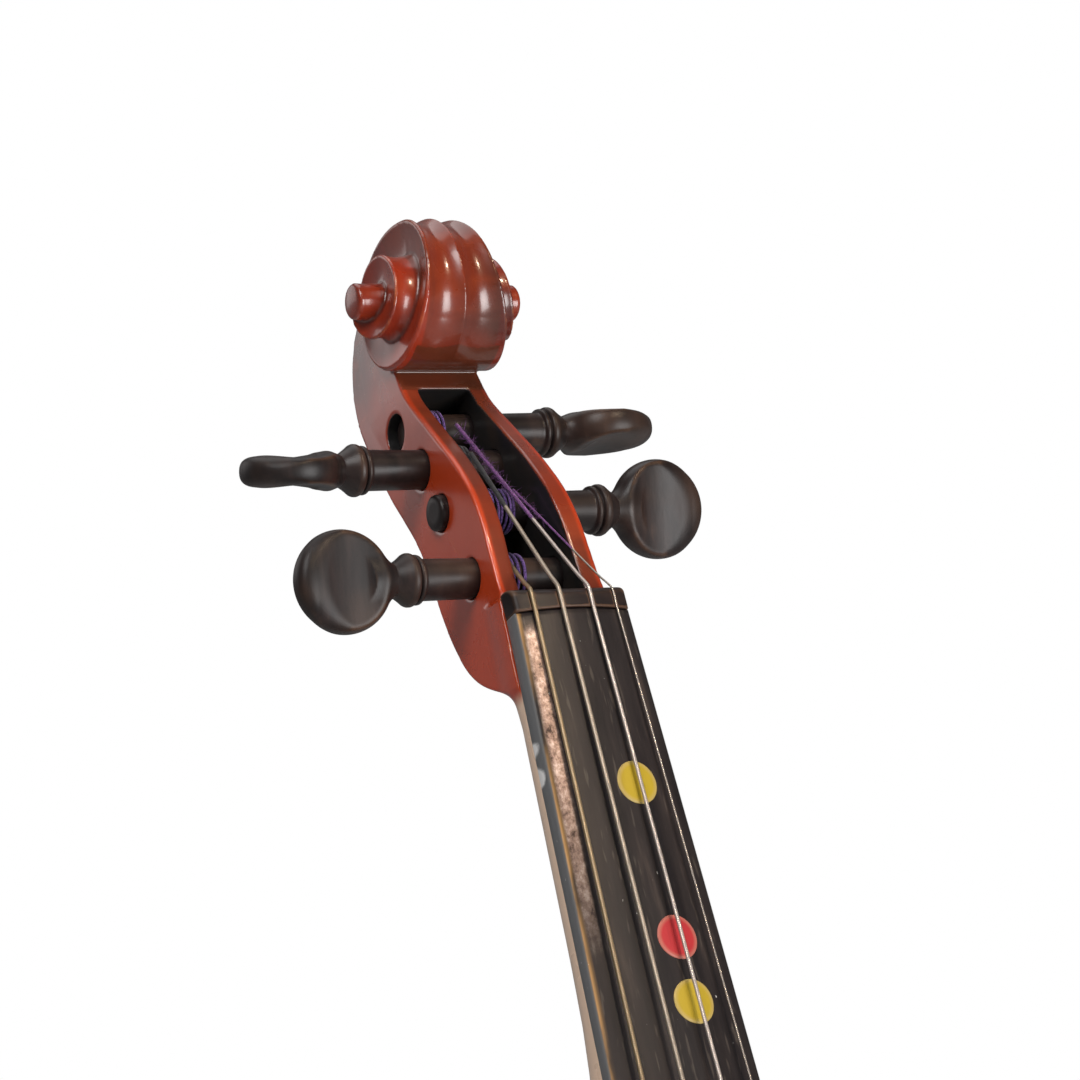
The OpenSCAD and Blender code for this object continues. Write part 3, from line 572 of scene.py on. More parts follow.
MAT = {
    "head": head_varnish(),
    "top": plate_varnish("top_varnish", False),
    "back": plate_varnish("back_varnish", True),
    "ebony": ebony("peg_ebony"),
    "nut": ebony("nut_ebony", 0.2, (0.34, 0.5), (0.06, 1, 1)),
    "rest": ebony("chin_rest_ebony", 0.15, (0.2, 0.3)),
    "board": board_wood(),
    "tail": plastic("tailpiece_black", (0.012, 0.012, 0.013), 0.28),
    "steel": metal("bright_steel", (0.78, 0.78, 0.77), 0.22),
    "brass": metal("ball_brass", (0.80, 0.58, 0.26), 0.3),
    "bridge": bare_wood("bridge_maple", (0.62, 0.40, 0.20), (0.42, 0.24, 0.11), (0.1, 1, 1)),
    "spruce": bare_wood("bare_spruce", (0.66, 0.50, 0.30), (0.50, 0.34, 0.18)),
    "cork": bare_wood("cork", (0.50, 0.31, 0.16), (0.30, 0.17, 0.09), (1, 1, 1), 0.85),
    "gut": plastic("tail_gut_black", (0.015, 0.015, 0.015), 0.3),
    "string_g": wound_string("string_g_wound", (0.34, 0.25, 0.15)),
    "string_d": wound_string("string_d_wound", (0.42, 0.35, 0.28)),
    "string_a": wound_string("string_a_wound", (0.60, 0.52, 0.47), 0.28),
    "string_e": wound_string("string_e_plain", (0.44, 0.38, 0.33), 0.25),
    "purple": silk("purple_silk", (0.035, 0.014, 0.085), (0.15, 0.07, 0.27)),
    "pink": silk("faded_silk", (0.075, 0.02, 0.10), (0.20, 0.065, 0.24)),
    "black": silk("black_silk", (0.006, 0.0055, 0.007), (0.022, 0.020, 0.026)),
    "yellow": sticker("yellow_sticker", (0.38, 0.265, 0.018), (0.26, 0.165, 0.012)),
    "red": sticker("red_sticker", (0.38, 0.024, 0.028), (0.24, 0.011, 0.016)),
}


# ---- neck, pegbox and scroll
EYE = np.array([22.6, 72.4])
EYE_X = 16.8
# The volute's outer line: degrees from straight behind and over the top, radius, half-width.
VOLUTE = np.array(
    [
        (-60, 33.0, 7.4), (-40, 28.4, 6.9), (-20, 24.6, 6.4), (10, 22.0, 5.6), (45, 19.4, 5.0),
        (90, 16.5, 4.8), (115, 15.5, 5.3), (135, 14.8, 5.9), (180, 13.3, 7.4), (225, 12.9, 9.2),
        (270, 12.8, 10.5), (300, 12.3, 10.7), (330, 11.0, 10.7), (360, 9.7, 10.7), (405, 9.0, 10.9),
        (450, 8.8, 11.0), (495, 8.7, 11.3), (540, 8.7, 11.8), (585, 8.5, 12.7), (630, 7.8, 13.9),
        (665, 6.0, 15.0), (700, 4.3, 15.8), (740, 3.6, 16.2), (780, 3.3, 16.3),
    ]
)
VOLUTE_START = -60
# side view of the pegbox as (y, z): its open front from the nut up, then its back from the throat down
FRONT = np.array(
    [(5.4, 5), (6.3, 9), (6.9, 15), (7.4, 21), (9.2, 28), (13.6, 36.5), (19.6, 45.5), (24.6, 53.0), (26.3, 56.9)]
)
BACK = np.array(
    [(41.4, 74.3), (44.4, 69.4), (46.0, 63.5), (45.2, 55.5), (39.6, 41.5), (31.9, 26.4), (28.3, 10.7),
     (24.9, 1.6), (20.9, -3.9), (15.1, -8.1), (9.2, -10.9)]
)
# how deep the neck is behind the board's underside, as (z, depth)
HEEL = np.array(
    [(-125, 40), (-103, 40), (-99, 37), (-95.5, 28), (-91, 20), (-86, 16), (-78, 13.7), (-60, 12.0),
     (-14, 10.7), (-8, 11.2), (10, 10.5)]
)


def volute_values(turn, angle):
    at = angle + 360 * turn
    smooth = spline(VOLUTE, 8)
    return np.interp(at, smooth[:, 0], smooth[:, 1]), np.interp(at, smooth[:, 0], smooth[:, 2])


def cheek_half(z):
    return 10.6 - 0.034 * z


def head_field(x, y, z):
    """The carved head and neck as a field over a grid in the head's frame."""
    y2, z2 = np.broadcast_arrays(y[0], z[0])
    ax = np.abs(x)
    # pegbox: a side view cut through by the two cheeks
    front, back = spline(FRONT, 6), spline(BACK, 6)
    side = np.vstack([front, [(27.4, 61), (31, 72), (34, 80)], back, [(5.3, -11.4)]])
    outline = polygon_distance(y2, z2, side)[None]
    front_y = np.interp(z2, front[:, 1], front[:, 0])
    lean = unit(z2 / 66) ** 1.4 * 0.4 * unit((y2 - front_y) / 15)
    cheek = ax - (cheek_half(z2) - lean)[None]
    # shallow channels either side of a spine run up the back
    back_far = np.interp(z2, back[::-1, 1], back[::-1, 0]) - y2
    rim_w = (cheek_half(z2) - 0.4 * unit(z2 / 66) ** 1.4)[None]
    channel = 1.0 * np.sin(math.pi * unit(ax / rim_w / 0.9)) * unit((z2 + 2) / 12)[None]
    near_back = unit(1 - np.clip(back_far, 0, None) / 9)[None]
    box = chamfer(outline + channel * near_back, cheek, 0.28)
    box = smax(box, outline, 0.5)
    # volute: each turn stands out further than the one round it
    dy, dz = y2 - EYE[0], z2 - EYE[1]
    reach = np.hypot(dy, dz)
    angle = (np.degrees(np.arctan2(dz, dy)) - VOLUTE_START) % 360 + VOLUTE_START
    volute = None
    for turn in range(3):
        r, w = volute_values(turn, angle)
        r_in = volute_values(turn + 1, angle)[0]
        t = unit((r - reach) / np.maximum(r - r_in, 0.5))
        face = (w - 0.75 * np.sin(0.5 * math.pi * t))[None]
        wall = (reach - r)[None]
        if turn == 0:
            throat = np.interp(z2, [54, 56.7, 61, 72.4, 76], [25.2, 26.2, 27.3, 31.0, 0])
            u = unit(ax / (w[None] * 0.94))
            depth = 1.25 * unit((262 - angle) / 40) ** 0.7
            wall = wall + depth[None] * np.sin(math.pi * u**0.92) ** 1.15 + 0.12 * depth[None]
        else:
            below = volute_values(turn - 1, angle)[1][None]
            wall = wall + 0.55 * np.sin(math.pi * unit((ax - below + 0.6) / (w[None] - below + 0.6)))
        shape = chamfer(wall, ax - face, 0.28 if turn else 0.42)
        if turn == 0:
            shape = np.maximum(shape, np.where(angle < 20, throat - y2, -99)[None])
        volute = shape if volute is None else smin(volute, shape, 0.55)
    eye = smax((reach - 3.3)[None], ax - (EYE_X - 0.03 * reach**2)[None], 0.7)
    volute = smin(volute, eye, 0.5)
    head = smin(box, volute, 0.5)
    # neck: half-round, swelling into the heel
    half = 11.25 - BOARD_TAPER * z - 0.7 * unit((-9 - z) / 8) * unit((z + 96) / 10)
    deep = np.interp(z, *HEEL.T)
    power = np.interp(z, [-100, -86, -70], [3.2, 2.5, 2.1])
    over = y - BOARD_UNDER
    narrow = half * (1 - 0.32 * unit(over / 40) * unit((-84 - z) / 12))
    neck = ((ax / narrow) ** power + (np.clip(over, 0, None) / deep) ** power) ** (1 / power) - 1
    neck = np.maximum(neck * np.minimum(half, deep), BOARD_UNDER - y)
    neck = np.maximum(neck, z - 4.9)
    return smin(head, neck, 2.5)


def hollow_field(x, y, z):
    """The pegbox's mortise."""
    y2, z2 = np.broadcast_arrays(y[0], z[0])
    room = [(0, 5.3), (19.5, 5.3), (24, 12), (26.6, 24), (29.5, 32), (34.3, 40), (38.8, 56.6)]
    side = polygon_distance(y2, z2, np.array(room + [(20, 56.6), (0, 40)]))[None]
    return smax(side, np.abs(x) - (cheek_half(z2) - 3.6 + 0.02 * (y2 - 20))[None], 0.8)


def peg_bore(x, y, z, name):
    y0, z0 = PEG_AT[name]
    along = x * PEG_SIDE[name]
    return np.hypot(y - y0, z - z0) - (3.33 + PEG_TAPER * (along + 10)) + 0 * x


def bare_values(z):
    """The hand's part of the neck is left without varnish; its pale wood is also painted light, standing in for
    bright light on the neck.
    """
    return unit((-10.5 - z) / 5) * unit((z + 92) / 9)


def build_head():
    step, low, high = 0.25, (-18.5, -1, -16), (18.5, 47, 91)
    x, y, z = grid(low, high, step)
    field = head_field(x, y, z)
    seat = np.where(z < 4.95, BOARD_UNDER - y, -9)
    field = np.maximum(field, seat)
    room = hollow_field(x, y, z)
    field = smax(field, -room, 0.5)
    for name in NAMES:
        bore = peg_bore(x, y, z, name)
        if name == "a":
            # this peg's far hole is open and a little wider, and its tip stops inside it
            bore = bore - 0.25 * (x < 0)
        field = smax(field, -bore, 0.35)
    mesh, points = skinned("scroll_and_pegbox", field, low, step)
    px, py, pz = points.T
    # Painted shade: the points inside the pegbox and the peg holes, painted near black by the varnish.
    inside = np.abs(px) < cheek_half(pz) - 2.6
    in_room = inside & (pz > 5.0) & (pz < 57.2)
    in_room &= py > np.interp(pz, FRONT[:, 1], FRONT[:, 0]) + 0.35
    in_room &= py < np.interp(pz, [5, 24, 45, 57], [24, 30, 38, 42])
    in_bore = np.zeros(len(px), bool)
    for name, (y0, z0) in PEG_AT.items():
        in_bore |= (np.hypot(py - y0, pz - z0) < 3.95) & (np.abs(px) < cheek_half(pz) - 0.35)
    attribute(mesh, "stain", in_room | in_bore)
    # Painted light: the cheeks' coat grows towards the nut, is halved on the treble side and fades on the cheeks'
    # front faces; a little round the eyes is wear.
    cheek = unit((68 - pz) / 34) * (py > BOARD_UNDER)
    front_y = np.interp(pz, FRONT[:, 1], FRONT[:, 0])
    facing = unit((front_y + 1.6 - py) / 0.6)
    facing = facing * unit((cheek_half(pz) - 0.75 - np.abs(px)) / 0.5)
    eye = unit((9.5 - np.hypot(py - EYE[0], pz - EYE[1])) / 4) * (np.abs(px) > 7)
    cheek = cheek * (1 - 0.75 * facing) * np.where(px > 0, 0.5, 1)
    attribute(mesh, "orange", np.maximum(cheek, 0.22 * eye))
    attribute(mesh, "bare", bare_values(pz))
    # Painted shade: the throat under the scroll and the cheeks' front faces are painted darker brown.
    throat = (pz > 56.4) & (pz < 60.9) & (py < 28.6) & (np.abs(px) < 8.4)
    attribute(mesh, "dull", np.maximum(facing * 0.55 * (pz > 5), throat))
    piece("scroll_and_pegbox", mesh, MAT["head"], ROOT, ["neck_and_scroll"], HEAD)


def build_neck():
    step, low, high = 0.6, (-16, 4, -122), (16, 50, -9)
    x, y, z = grid(low, high, step)
    field = np.maximum(head_field(x, y, z), BOARD_UNDER - y)
    row_z = HEAD.translation.z / MM - y * math.sin(TILT) + z * math.cos(TILT)
    row_y = HEAD.translation.y / MM + y * math.cos(TILT) + z * math.sin(TILT)
    field = smax(field, BODY_Z + BODY_L - 2.2 - row_z, 0.5)
    field = smax(field, row_y - HALF_RIB - 0.3, 0.8)
    field = np.maximum(field, z + 9.8)
    mesh, points = skinned("neck_and_heel", field, low, step)
    attribute(mesh, "orange", np.ones(len(points)))
    attribute(mesh, "bare", bare_values(points[:, 2]))
    piece("neck_and_heel", mesh, MAT["head"], ROOT, [], HEAD)


# ---- fingerboard, nut and stickers
NUT_LEN = 5.0
NUT_RISE = 0.5
NUT_LOW = 0.8
STRING_LEN = 285.6
NUT_X = [-7.95, -2.85, 3.1, 8.2]


def board_half(down):
    return 11.25 + BOARD_TAPER * down


def board_top(x):
    return BOARD_R - np.sqrt(BOARD_R**2 - x**2)


# dried glue on the board's bass side, as (distance from the nut, size, strength)
GLUE_SPOTS = ((23.4, 2.0, 0.8), (28.4, 2.2, 1.0))


def build_board():
    spread = [np.arange(0.5, 18.5, 1.5), np.arange(18.5, 33, 0.5), np.arange(33, BOARD_LEN - 1, 1.5)]
    downs = np.concatenate([[-NUT_LOW, 0.25 - NUT_LOW], *spread, [BOARD_LEN - 0.6, BOARD_LEN]])
    rows = []
    across = 61
    worn, rim, side, glue = [], [], [], []
    for i, down in enumerate(downs):
        half = board_half(down)
        end = 0.35 if i in (0, len(downs) - 1) else 0.0
        u = np.linspace(-1, 1, across)
        x = u * (half - 0.35)
        y = board_top(x) + end
        hollow = 3.0 if down > 125 else 0.0
        edge = board_top(np.array([half]))[0]
        right = [(half - 0.1, edge + 0.12), (half, edge + 0.45)]
        right += [(half, BOARD_UNDER - 0.3), (half - 0.3, BOARD_UNDER)]
        under_x = np.linspace(half - 1.6, -(half - 1.6), 21)
        under = [(v, BOARD_UNDER - hollow * (1 - (v / half) ** 2)) for v in under_x]
        left = [(-a, b) for a, b in right[::-1]]
        section = np.array([*zip(x, y), *right, *under, *left])
        rows.append(np.column_stack([section, np.full(len(section), -down)]))
        # Painted reflection: marks the board's sides, painted a bluish grey.
        side.append(np.concatenate([np.zeros(across), np.ones(4), np.zeros(21), np.ones(4)]))
        spots = sum(w * np.exp(-(((down - at) / size) ** 2)) for at, size, w in GLUE_SPOTS)
        glue.append(np.concatenate([np.zeros(across + 25), spots * np.array([1.0, 1.0, 0.45, 0.2])]))
        from_edge = np.concatenate([x + half, np.full(len(section) - across, 99.0)])
        # Partly painted reflection: a strip from the bass edge to the lowest string, wood rubbed through its dye
        # with the light from the left reflected.
        strip = unit((from_edge - 0.9) / 0.35) * unit((3.3 - from_edge) / 0.4)
        # Painted shade: the strip darkens from the nut down the board.
        fade = unit((down - 1.5) / 2) * unit((62 - down) / 34)
        worn.append(strip * fade)
        gold = unit((0.9 - from_edge) / 0.4)
        rim.append(gold * unit((across - np.arange(len(section))) * 1.0) * 0.75)
    faces = ring_quads(len(rows), len(rows[0]))
    mesh = make_mesh("fingerboard_blank", np.concatenate(rows), faces)
    attribute(mesh, "worn", np.concatenate(worn))
    attribute(mesh, "rim", np.concatenate(rim))
    attribute(mesh, "side", np.concatenate(side))
    attribute(mesh, "glue", np.concatenate(glue))
    piece("fingerboard_blank", mesh, MAT["board"], ROOT, ["fingerboard"], HEAD)
    close_ends(mesh)


def close_ends(mesh):
    """Fills each open end of a lofted mesh with one face."""
    bm = bmesh.new()
    bm.from_mesh(mesh)
    edges = [e for e in bm.edges if e.is_boundary]
    bmesh.ops.holes_fill(bm, edges=edges, sides=0)
    bmesh.ops.recalc_face_normals(bm, faces=bm.faces)
    bm.to_mesh(mesh)
    bm.free()


def nut_y(i):
    return board_top(NUT_X[i]) - NUT_RISE - 0.2 * STRING_D[i]


def build_nut():
    step, low, high = 0.12, (-12, -1.2, -0.3), (12, 6.8, 5.6)
    x, y, z = grid(low, high, step)
    top = board_top(x) - NUT_RISE - y
    field = smax(np.abs(x) - NUT_HALF + 0.06, top, 0.9)
    field = smax(field, 0.03 - z, 0.25)
    field = smax(field, z - NUT_LEN + 0.03, 0.4)
    field = smax(field, (z - 3.4) * 0.85 - (y - 0.2) * 0.52, 0.8)
    field = smax(field, y - BOARD_UNDER + 0.03, 0.2)
    for i in range(4):
        groove = np.hypot(x - NUT_X[i], y - nut_y(i)) - STRING_D[i] / 2 - 0.07
        field = smax(field, -groove, 0.15)
    mesh, _ = skinned("string_nut", field, (low[0], low[1], low[2] + NUT_LOW), step)
    piece("string_nut", mesh, MAT["nut"], ROOT, ["nut"], HEAD)


# how far each sticker sits from its semitone's true place, and the rounds of points in each
DOT_SLIPS = {2: 0.6, 4: 0.65, 5: -0.75}
DOT_SIDES = 64


def build_dots():
    cad = {"yellow": ["yellow_finger_dots"], "red": ["red_finger_dot"]}
    for colour, steps in (("yellow", (2, 5)), ("red", (4,))):
        shapes, rims = [], []
        for semitones in steps:
            down = STRING_LEN * (1 - 2 ** (-semitones / 12)) + DOT_SLIPS[semitones]
            centre = 3.1 * board_half(down) / board_half(0)
            rings = [(0, 0.0), (1.5, 0.0), (3.0, 0.0), (3.62, 0.0), (3.85, 0.03), (3.92, 0.15)]
            a = np.arange(DOT_SIDES) * 2 * math.pi / DOT_SIDES
            ring_points = []
            for r, drop in rings:
                r = max(r, 0.01)
                wobble = r * (1 + 0.006 * np.sin(3 * a + semitones))
                px = centre + wobble * np.cos(a)
                pz = -down + wobble * np.sin(a)
                ring_points.append(np.column_stack([px, board_top(px) - 0.17 + drop, pz]))
                rims.append(np.full(DOT_SIDES, 1.0 if r > 3.5 else 0.0))
            faces = ring_quads(len(rings), DOT_SIDES)[:, [0, 3, 2, 1]]
            shapes.append((np.concatenate(ring_points), faces))
        points, faces = joined(*shapes)
        mesh = make_mesh(colour + "_dot_stickers", points, faces)
        attribute(mesh, "rim", np.concatenate(rims))
        piece(mesh.name, mesh, MAT[colour], ROOT, cad[colour], HEAD)


# ---- pegs
COLLAR = [
    (20.35, 3.70), (20.45, 3.75), (20.55, 4.15), (20.75, 4.36), (21.05, 4.42), (21.35, 4.34), (21.5, 4.08),
    (21.55, 3.85), (21.7, 3.82), (21.78, 4.25), (21.95, 4.58), (22.3, 4.72), (22.8, 4.72), (23.15, 4.58),
    (23.7, 4.15), (24.3, 3.72), (24.9, 3.35), (25.4, 3.0), (26.0, 2.8), (26.6, 2.72),
]
PEG_TIP = {"g": -9.4, "d": -9.3, "a": -6.8, "e": -10.9}
PEG_TURN = {"g": -15, "d": 64, "a": 101, "e": 22}


def peg_head():
    """The flat thumb piece: a rounded disc scooped on both faces, on a short neck."""
    step, low, high = 0.22, (-10.6, -5.4, 24.6), (10.6, 5.4, 45.2)
    s, n, t = grid(low, high, step)
    centre = 34.9
    a, b = (t - centre) / 9.55, s / 9.75
    r = np.sqrt(a * a + b * b + (n / 5.1) ** 2)
    body = (r - 1) * 6.5
    flat = np.sqrt(a * a + b * b)
    body = smax(body, (flat - 1) * 9.6, 2.0)
    for side in (-1, 1):
        scoop = 17 - np.hypot(n * side - 19.3, (t - centre + 0.6) * 0.92) + 0 * s
        body = smax(body, scoop, 0.5 + 2.8 * unit((t - centre) / 6))
    neck = np.maximum(np.hypot(s, n) - 2.7, np.abs(t - 27.2) - 2.2)
    body = smin(body, neck, 2.2)
    points, faces = skin(body.astype(np.float32), low, step)
    return points, faces, wear_values(points, faces, step)


def peg_frame(name):
    y0, z0 = PEG_AT[name]
    side = Matrix.Rotation(math.radians(90 * PEG_SIDE[name]), 4, "Y")
    return Matrix.Translation((0, y0, z0)) @ side


def build_pegs():
    *thumb, thumb_wear = peg_head()
    for name in NAMES:
        tip = PEG_TIP[name]
        shank = [(tip, 0), (tip, 1.6), (tip - 0.02, 2.7), (tip + 0.18, 3.12), (tip + 0.6, 3.30)]
        shank += [(a, 3.7 - PEG_TAPER * (20 - a)) for a in np.linspace(tip + 1.5, 20, 30)]
        turned = lathe(shank + COLLAR)
        shape = joined(thumb, turned)
        place = peg_frame(name) @ Matrix.Rotation(math.radians(PEG_TURN[name]), 4, "Z")
        points, faces = moved(shape, place)
        mesh = make_mesh("tuning_peg_" + name, points, faces)
        rings = np.clip((np.hypot(*turned[0].T[:2]) - 4.2) * 0.6, 0, 0.13)
        attribute(mesh, "wear", np.concatenate([thumb_wear, rings]))
        piece(mesh.name, mesh, MAT["ebony"], "peg_" + name, ["peg_" + name], HEAD)


COIL_X = {"g": -3.2, "d": -2.6, "a": -1.6, "e": 1.6}
COIL_TURNS = {"g": 4.6, "d": 4.2, "a": 3.6, "e": 5.6}
COIL_WIRE = {"g": 0.30, "d": 0.28, "a": 0.24, "e": 0.24}


def build_windings():
    for name in NAMES:
        y0, z0 = PEG_AT[name]
        turns, wire = COIL_TURNS[name], COIL_WIRE[name]
        a = np.linspace(0, turns * 2 * math.pi, int(turns * 40))
        pitch = wire * 3.3
        at = np.arange(len(a))
        drift = np.interp(at, np.linspace(0, len(a), 9), rng.normal(0, 0.16, 9))
        x = COIL_X[name] + (a / (2 * math.pi) - turns / 2) * pitch + drift
        r = 3.62 + wire + np.interp(at, np.linspace(0, len(a), 14), rng.uniform(0, 0.22, 14))
        path = np.column_stack([x, y0 - r * np.cos(a), z0 + r * np.sin(a)])
        mesh = make_mesh("silk_coil_" + name, *tube(path, wire, 12))
        kind = "black" if name == "d" else "purple"
        piece(mesh.name, mesh, MAT[kind], "peg_" + name, ["silk_winding_" + name], HEAD)


# ---- strings
PEG_END = {"g": (-4.6, 11.2, 15.2), "d": (-1.0, 20.6, 40.6), "a": (1.2, 26.9, 49.6), "e": (3.6, 17.0, 31.6)}


def string_path(i):
    """Points along one string in the head's frame, from its peg to its ball."""
    name = NAMES[i]
    cad_bridge = box_mm("string_" + name)
    ball = sum(box_mm("ball_end_" + name)) / 2
    x = (i - 1.5) * 10
    bridge_y = cad_bridge[0][1] + STRING_D[i] * 0.5
    bridge = in_head(Vector((x, bridge_y, STOP_Z)) * MM)
    end = in_head(Vector(ball) * MM)
    toward = (bridge - end) / np.linalg.norm(bridge - end)
    nut_front = np.array([NUT_X[i], nut_y(i), NUT_LOW + 0.2])
    nut_back = np.array([NUT_X[i], nut_y(i), NUT_LOW + 3.3])
    peg = np.array(PEG_END[name])
    down = (peg - nut_back) / np.linalg.norm(peg - nut_back)
    bend = spline([nut_front, nut_back, nut_back + down * 1.5 + [0, -0.15, 0.1], nut_back + down * 4], 6)
    top = [bridge + (nut_front - bridge) * t for t in (0.02, 0.006)]
    return [peg, *bend[::-1], *top, bridge, bridge - toward * 2, end + toward * 1.3]


def build_strings():
    for i, name in enumerate(NAMES):
        path = string_path(i)
        dense = [path[0]]
        for a, b in zip(path[:-1], path[1:]):
            n = max(1, int(np.linalg.norm(b - a) / 6))
            dense += [a + (b - a) * k / n for k in range(1, n + 1)]
        mesh = make_mesh("violin_string_" + name, *tube(dense, STRING_D[i] / 2, 14))
        piece(mesh.name, mesh, MAT["string_" + name], ROOT, ["string_" + name], HEAD)
    # silk lapping on the strings' peg ends
    laps = {"d": ("black", 0.42, 1.06), "a": ("pink", 0.62, 1.04), "e": ("pink", 0.60, 1.15)}
    for name, (kind, share, swell) in laps.items():
        i = NAMES.index(name)
        peg = np.array(PEG_END[name])
        back = np.array([NUT_X[i], nut_y(i), NUT_LOW + 3.3])
        t = np.linspace(0, share, 60)
        path = peg + (back - peg) * t[:, None]
        radius = STRING_D[i] / 2 * swell * np.interp(t, [0, share * 0.93, share], [1.05, 1.0, 0.9])
        shapes = [tube(path, radius, 12)]
        if kind == "pink":
            fuzz = 420 if name == "a" else 110
            span = share * (0.75 if name == "a" else 0.5)
            for k in range(fuzz):
                root = peg + (back - peg) * rng.uniform(0.02, span)
                way = rng.normal(0, 1, 3)
                way /= np.linalg.norm(way)
                curl = rng.normal(0, 0.5, 3)
                size = rng.uniform(0.3, 1.25)
                hair = [root + way * size * s + curl * size * s * s for s in np.linspace(0, 1, 5)]
                shapes.append(tube(hair, np.array([0.035, 0.035, 0.03, 0.025, 0.012]), 4, cap=False))
        mesh = make_mesh("silk_lapping_" + name, *joined(*shapes))
        piece(mesh.name, mesh, MAT[kind], ROOT, [], HEAD)


# ---- body
def bezier(a, b, c, d, n):
    t = np.arange(n)[:, None] / n
    a, b, c, d = (np.array(p, float) for p in (a, b, c, d))
    return a * (1 - t) ** 3 + 3 * b * t * (1 - t) ** 2 + 3 * c * t * t * (1 - t) + d * t**3


def body_outline():
    l, c, u, length = LOWER, WAIST, UPPER, BODY_L
    low = ((0.84 * l, 0.388 * length), (0.803 * l, 0.4055 * length))
    top = ((0.882 * u, 0.63 * length), (0.914 * u, 0.649 * length))
    half = np.concatenate(
        [
            bezier((0, 0), (0.55 * l, 0), (l, 0.083 * length), (l, 0.212 * length), 30),
            bezier((l, 0.212 * length), (l, 0.295 * length), (0.766 * l, 0.333 * length), low[0], 24),
            [low[0]],
            bezier(low[1], (0.66 * l, 0.42 * length), (c, 0.458 * length), (c, 0.529 * length), 24),
            bezier((c, 0.529 * length), (c, 0.577 * length), (0.75 * u, 0.615 * length), top[0], 24),
            [top[0]],
            bezier(top[1], (0.816 * u, 0.686 * length), (u, 0.724 * length), (u, 0.795 * length), 24),
            bezier((u, 0.795 * length), (u, 0.904 * length), (0.58 * u, length), (0, length), 30),
            [(0, length)],
        ]
    )
    left = half[-2:0:-1] * [-1, 1]
    return np.concatenate([half, left])


BODY_STEP = 0.8
body_x = axis_of(-LOWER - 2, LOWER + 2, BODY_STEP)
body_z = axis_of(-2, BODY_L + 2, BODY_STEP)
bx, bz = np.meshgrid(body_x, body_z, indexing="ij")
EDGE_FIELD = polygon_distance(bx, bz, body_outline())


def arching():
    """Height share of the arch over the outline: 1 on the centre line, 0 at the flat border."""
    h = None
    for level in (8, 4, 2, 1):
        region = EDGE_FIELD[::level, ::level] < -5.0
        if h is None:
            h = np.zeros(region.shape)
        else:
            h = np.repeat(np.repeat(h, 2, 0), 2, 1)[: region.shape[0], : region.shape[1]]
            h = np.pad(h, [(0, region.shape[k] - h.shape[k]) for k in (0, 1)], mode="edge")
        pull = (BODY_STEP * level / 30.0) ** 2
        for _ in range(500 if level > 1 else 260):
            around = (np.roll(h, 1, 0) + np.roll(h, -1, 0) + np.roll(h, 1, 1) + np.roll(h, -1, 1)) / 4
            h = np.where(region, (around * 4 + pull) / (4 + pull), 0)
    centre = h[h.shape[0] // 2]
    cross = unit(h / np.maximum(centre, 0.02)[None, :])
    cross = 0.4 * cross + 0.6 * cross * cross * (3 - 2 * cross)
    z = unit((np.minimum(body_z, BODY_L - body_z) - 5) / (0.46 * BODY_L))
    long = (0.5 - 0.5 * np.cos(math.pi * z)) ** 0.62
    share = cross * long[None, :]
    for _ in range(6):
        share = share + np.roll(share, 1, 0) + np.roll(share, -1, 0) + np.roll(share, 1, 1) + np.roll(share, -1, 1)
        share = share / 5
    return np.where(EDGE_FIELD < -4, share, 0)


ARCH_SHARE = arching()


def plate_field(y, rise):
    """A plate from its glue face y = 0 outwards, over the body's grid."""
    height = (ARCH - PLATE_T) * ARCH_SHARE
    bead = 0.45 * np.exp(-(((EDGE_FIELD + 1.8) / 1.3) ** 2))
    groove = 0.35 * np.exp(-(((EDGE_FIELD + 6.0) / 2.0) ** 2))
    top = height + PLATE_T + bead - groove
    upper = (y[None, :, None] - top[:, None, :]) * 0.95
    lower = np.maximum(height[:, None, :] * rise, 0) - y[None, :, None]
    return smax(smax(upper, EDGE_FIELD[:, None, :] + 0 * upper, 1.6), lower, 0.5)


F_EYES = [(20.6, 27.4, 2.9), (44.8, -25.4, 3.7)]
F_LINE = [
    ((20.8, 30.2), (24, 34.6), (30.2, 33), (31.2, 23)),
    ((31.2, 23), (32.6, 9), (33, -8), (34.4, -22)),
    ((34.4, -22), (35.4, -32.5), (41.8, -34.4), (45.2, -29.2)),
]


def sound_hole_distance():
    path = np.concatenate([*(bezier(*c, 20) for c in F_LINE), [F_LINE[2][3]]])
    n = len(path) - 1
    x, z = np.abs(bx), bz + BODY_Z - STOP_Z
    best = np.full(x.shape, 99.0)
    for i, (px, pz) in enumerate(path):
        half = 0.35 + 1.75 * math.sin(math.pi * i / n) ** 0.8
        best = np.minimum(best, np.hypot(x - px, z - pz) - half)
    for px, pz, r in F_EYES:
        best = np.minimum(best, np.hypot(x - px, z - pz) - r)
    for sign in (-1, 1):
        # the two small nicks at the bridge line
        px = 33 - 2.0 * sign
        best = np.minimum(best, np.maximum(np.abs(z) * 1.6 + np.abs(x - px) * 0.9 - 1.3, -9))
    return best


def cut_room(low, high, field):
    """Takes a box out of a plate's field: low and high are (x, z) corners over the body's grid."""
    away = np.maximum(np.abs(bx - (low[0] + high[0]) / 2) - (high[0] - low[0]) / 2,
                      np.abs(bz - (low[1] + high[1]) / 2) - (high[1] - low[1]) / 2)
    return np.maximum(field, -away[:, None, :] + 0 * field)


def edge_values(points):
    i = np.clip((points[:, 0] - body_x[0]) / BODY_STEP, 0, len(body_x) - 1.001)
    k = np.clip((points[:, 2] - body_z[0]) / BODY_STEP, 0, len(body_z) - 1.001)
    i0, k0 = i.astype(int), k.astype(int)
    fi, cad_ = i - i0, k - k0
    f = EDGE_FIELD
    return -(
        f[i0, k0] * (1 - fi) * (1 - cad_) + f[i0 + 1, k0] * fi * (1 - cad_)
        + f[i0, k0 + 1] * (1 - fi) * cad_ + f[i0 + 1, k0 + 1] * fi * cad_
    )


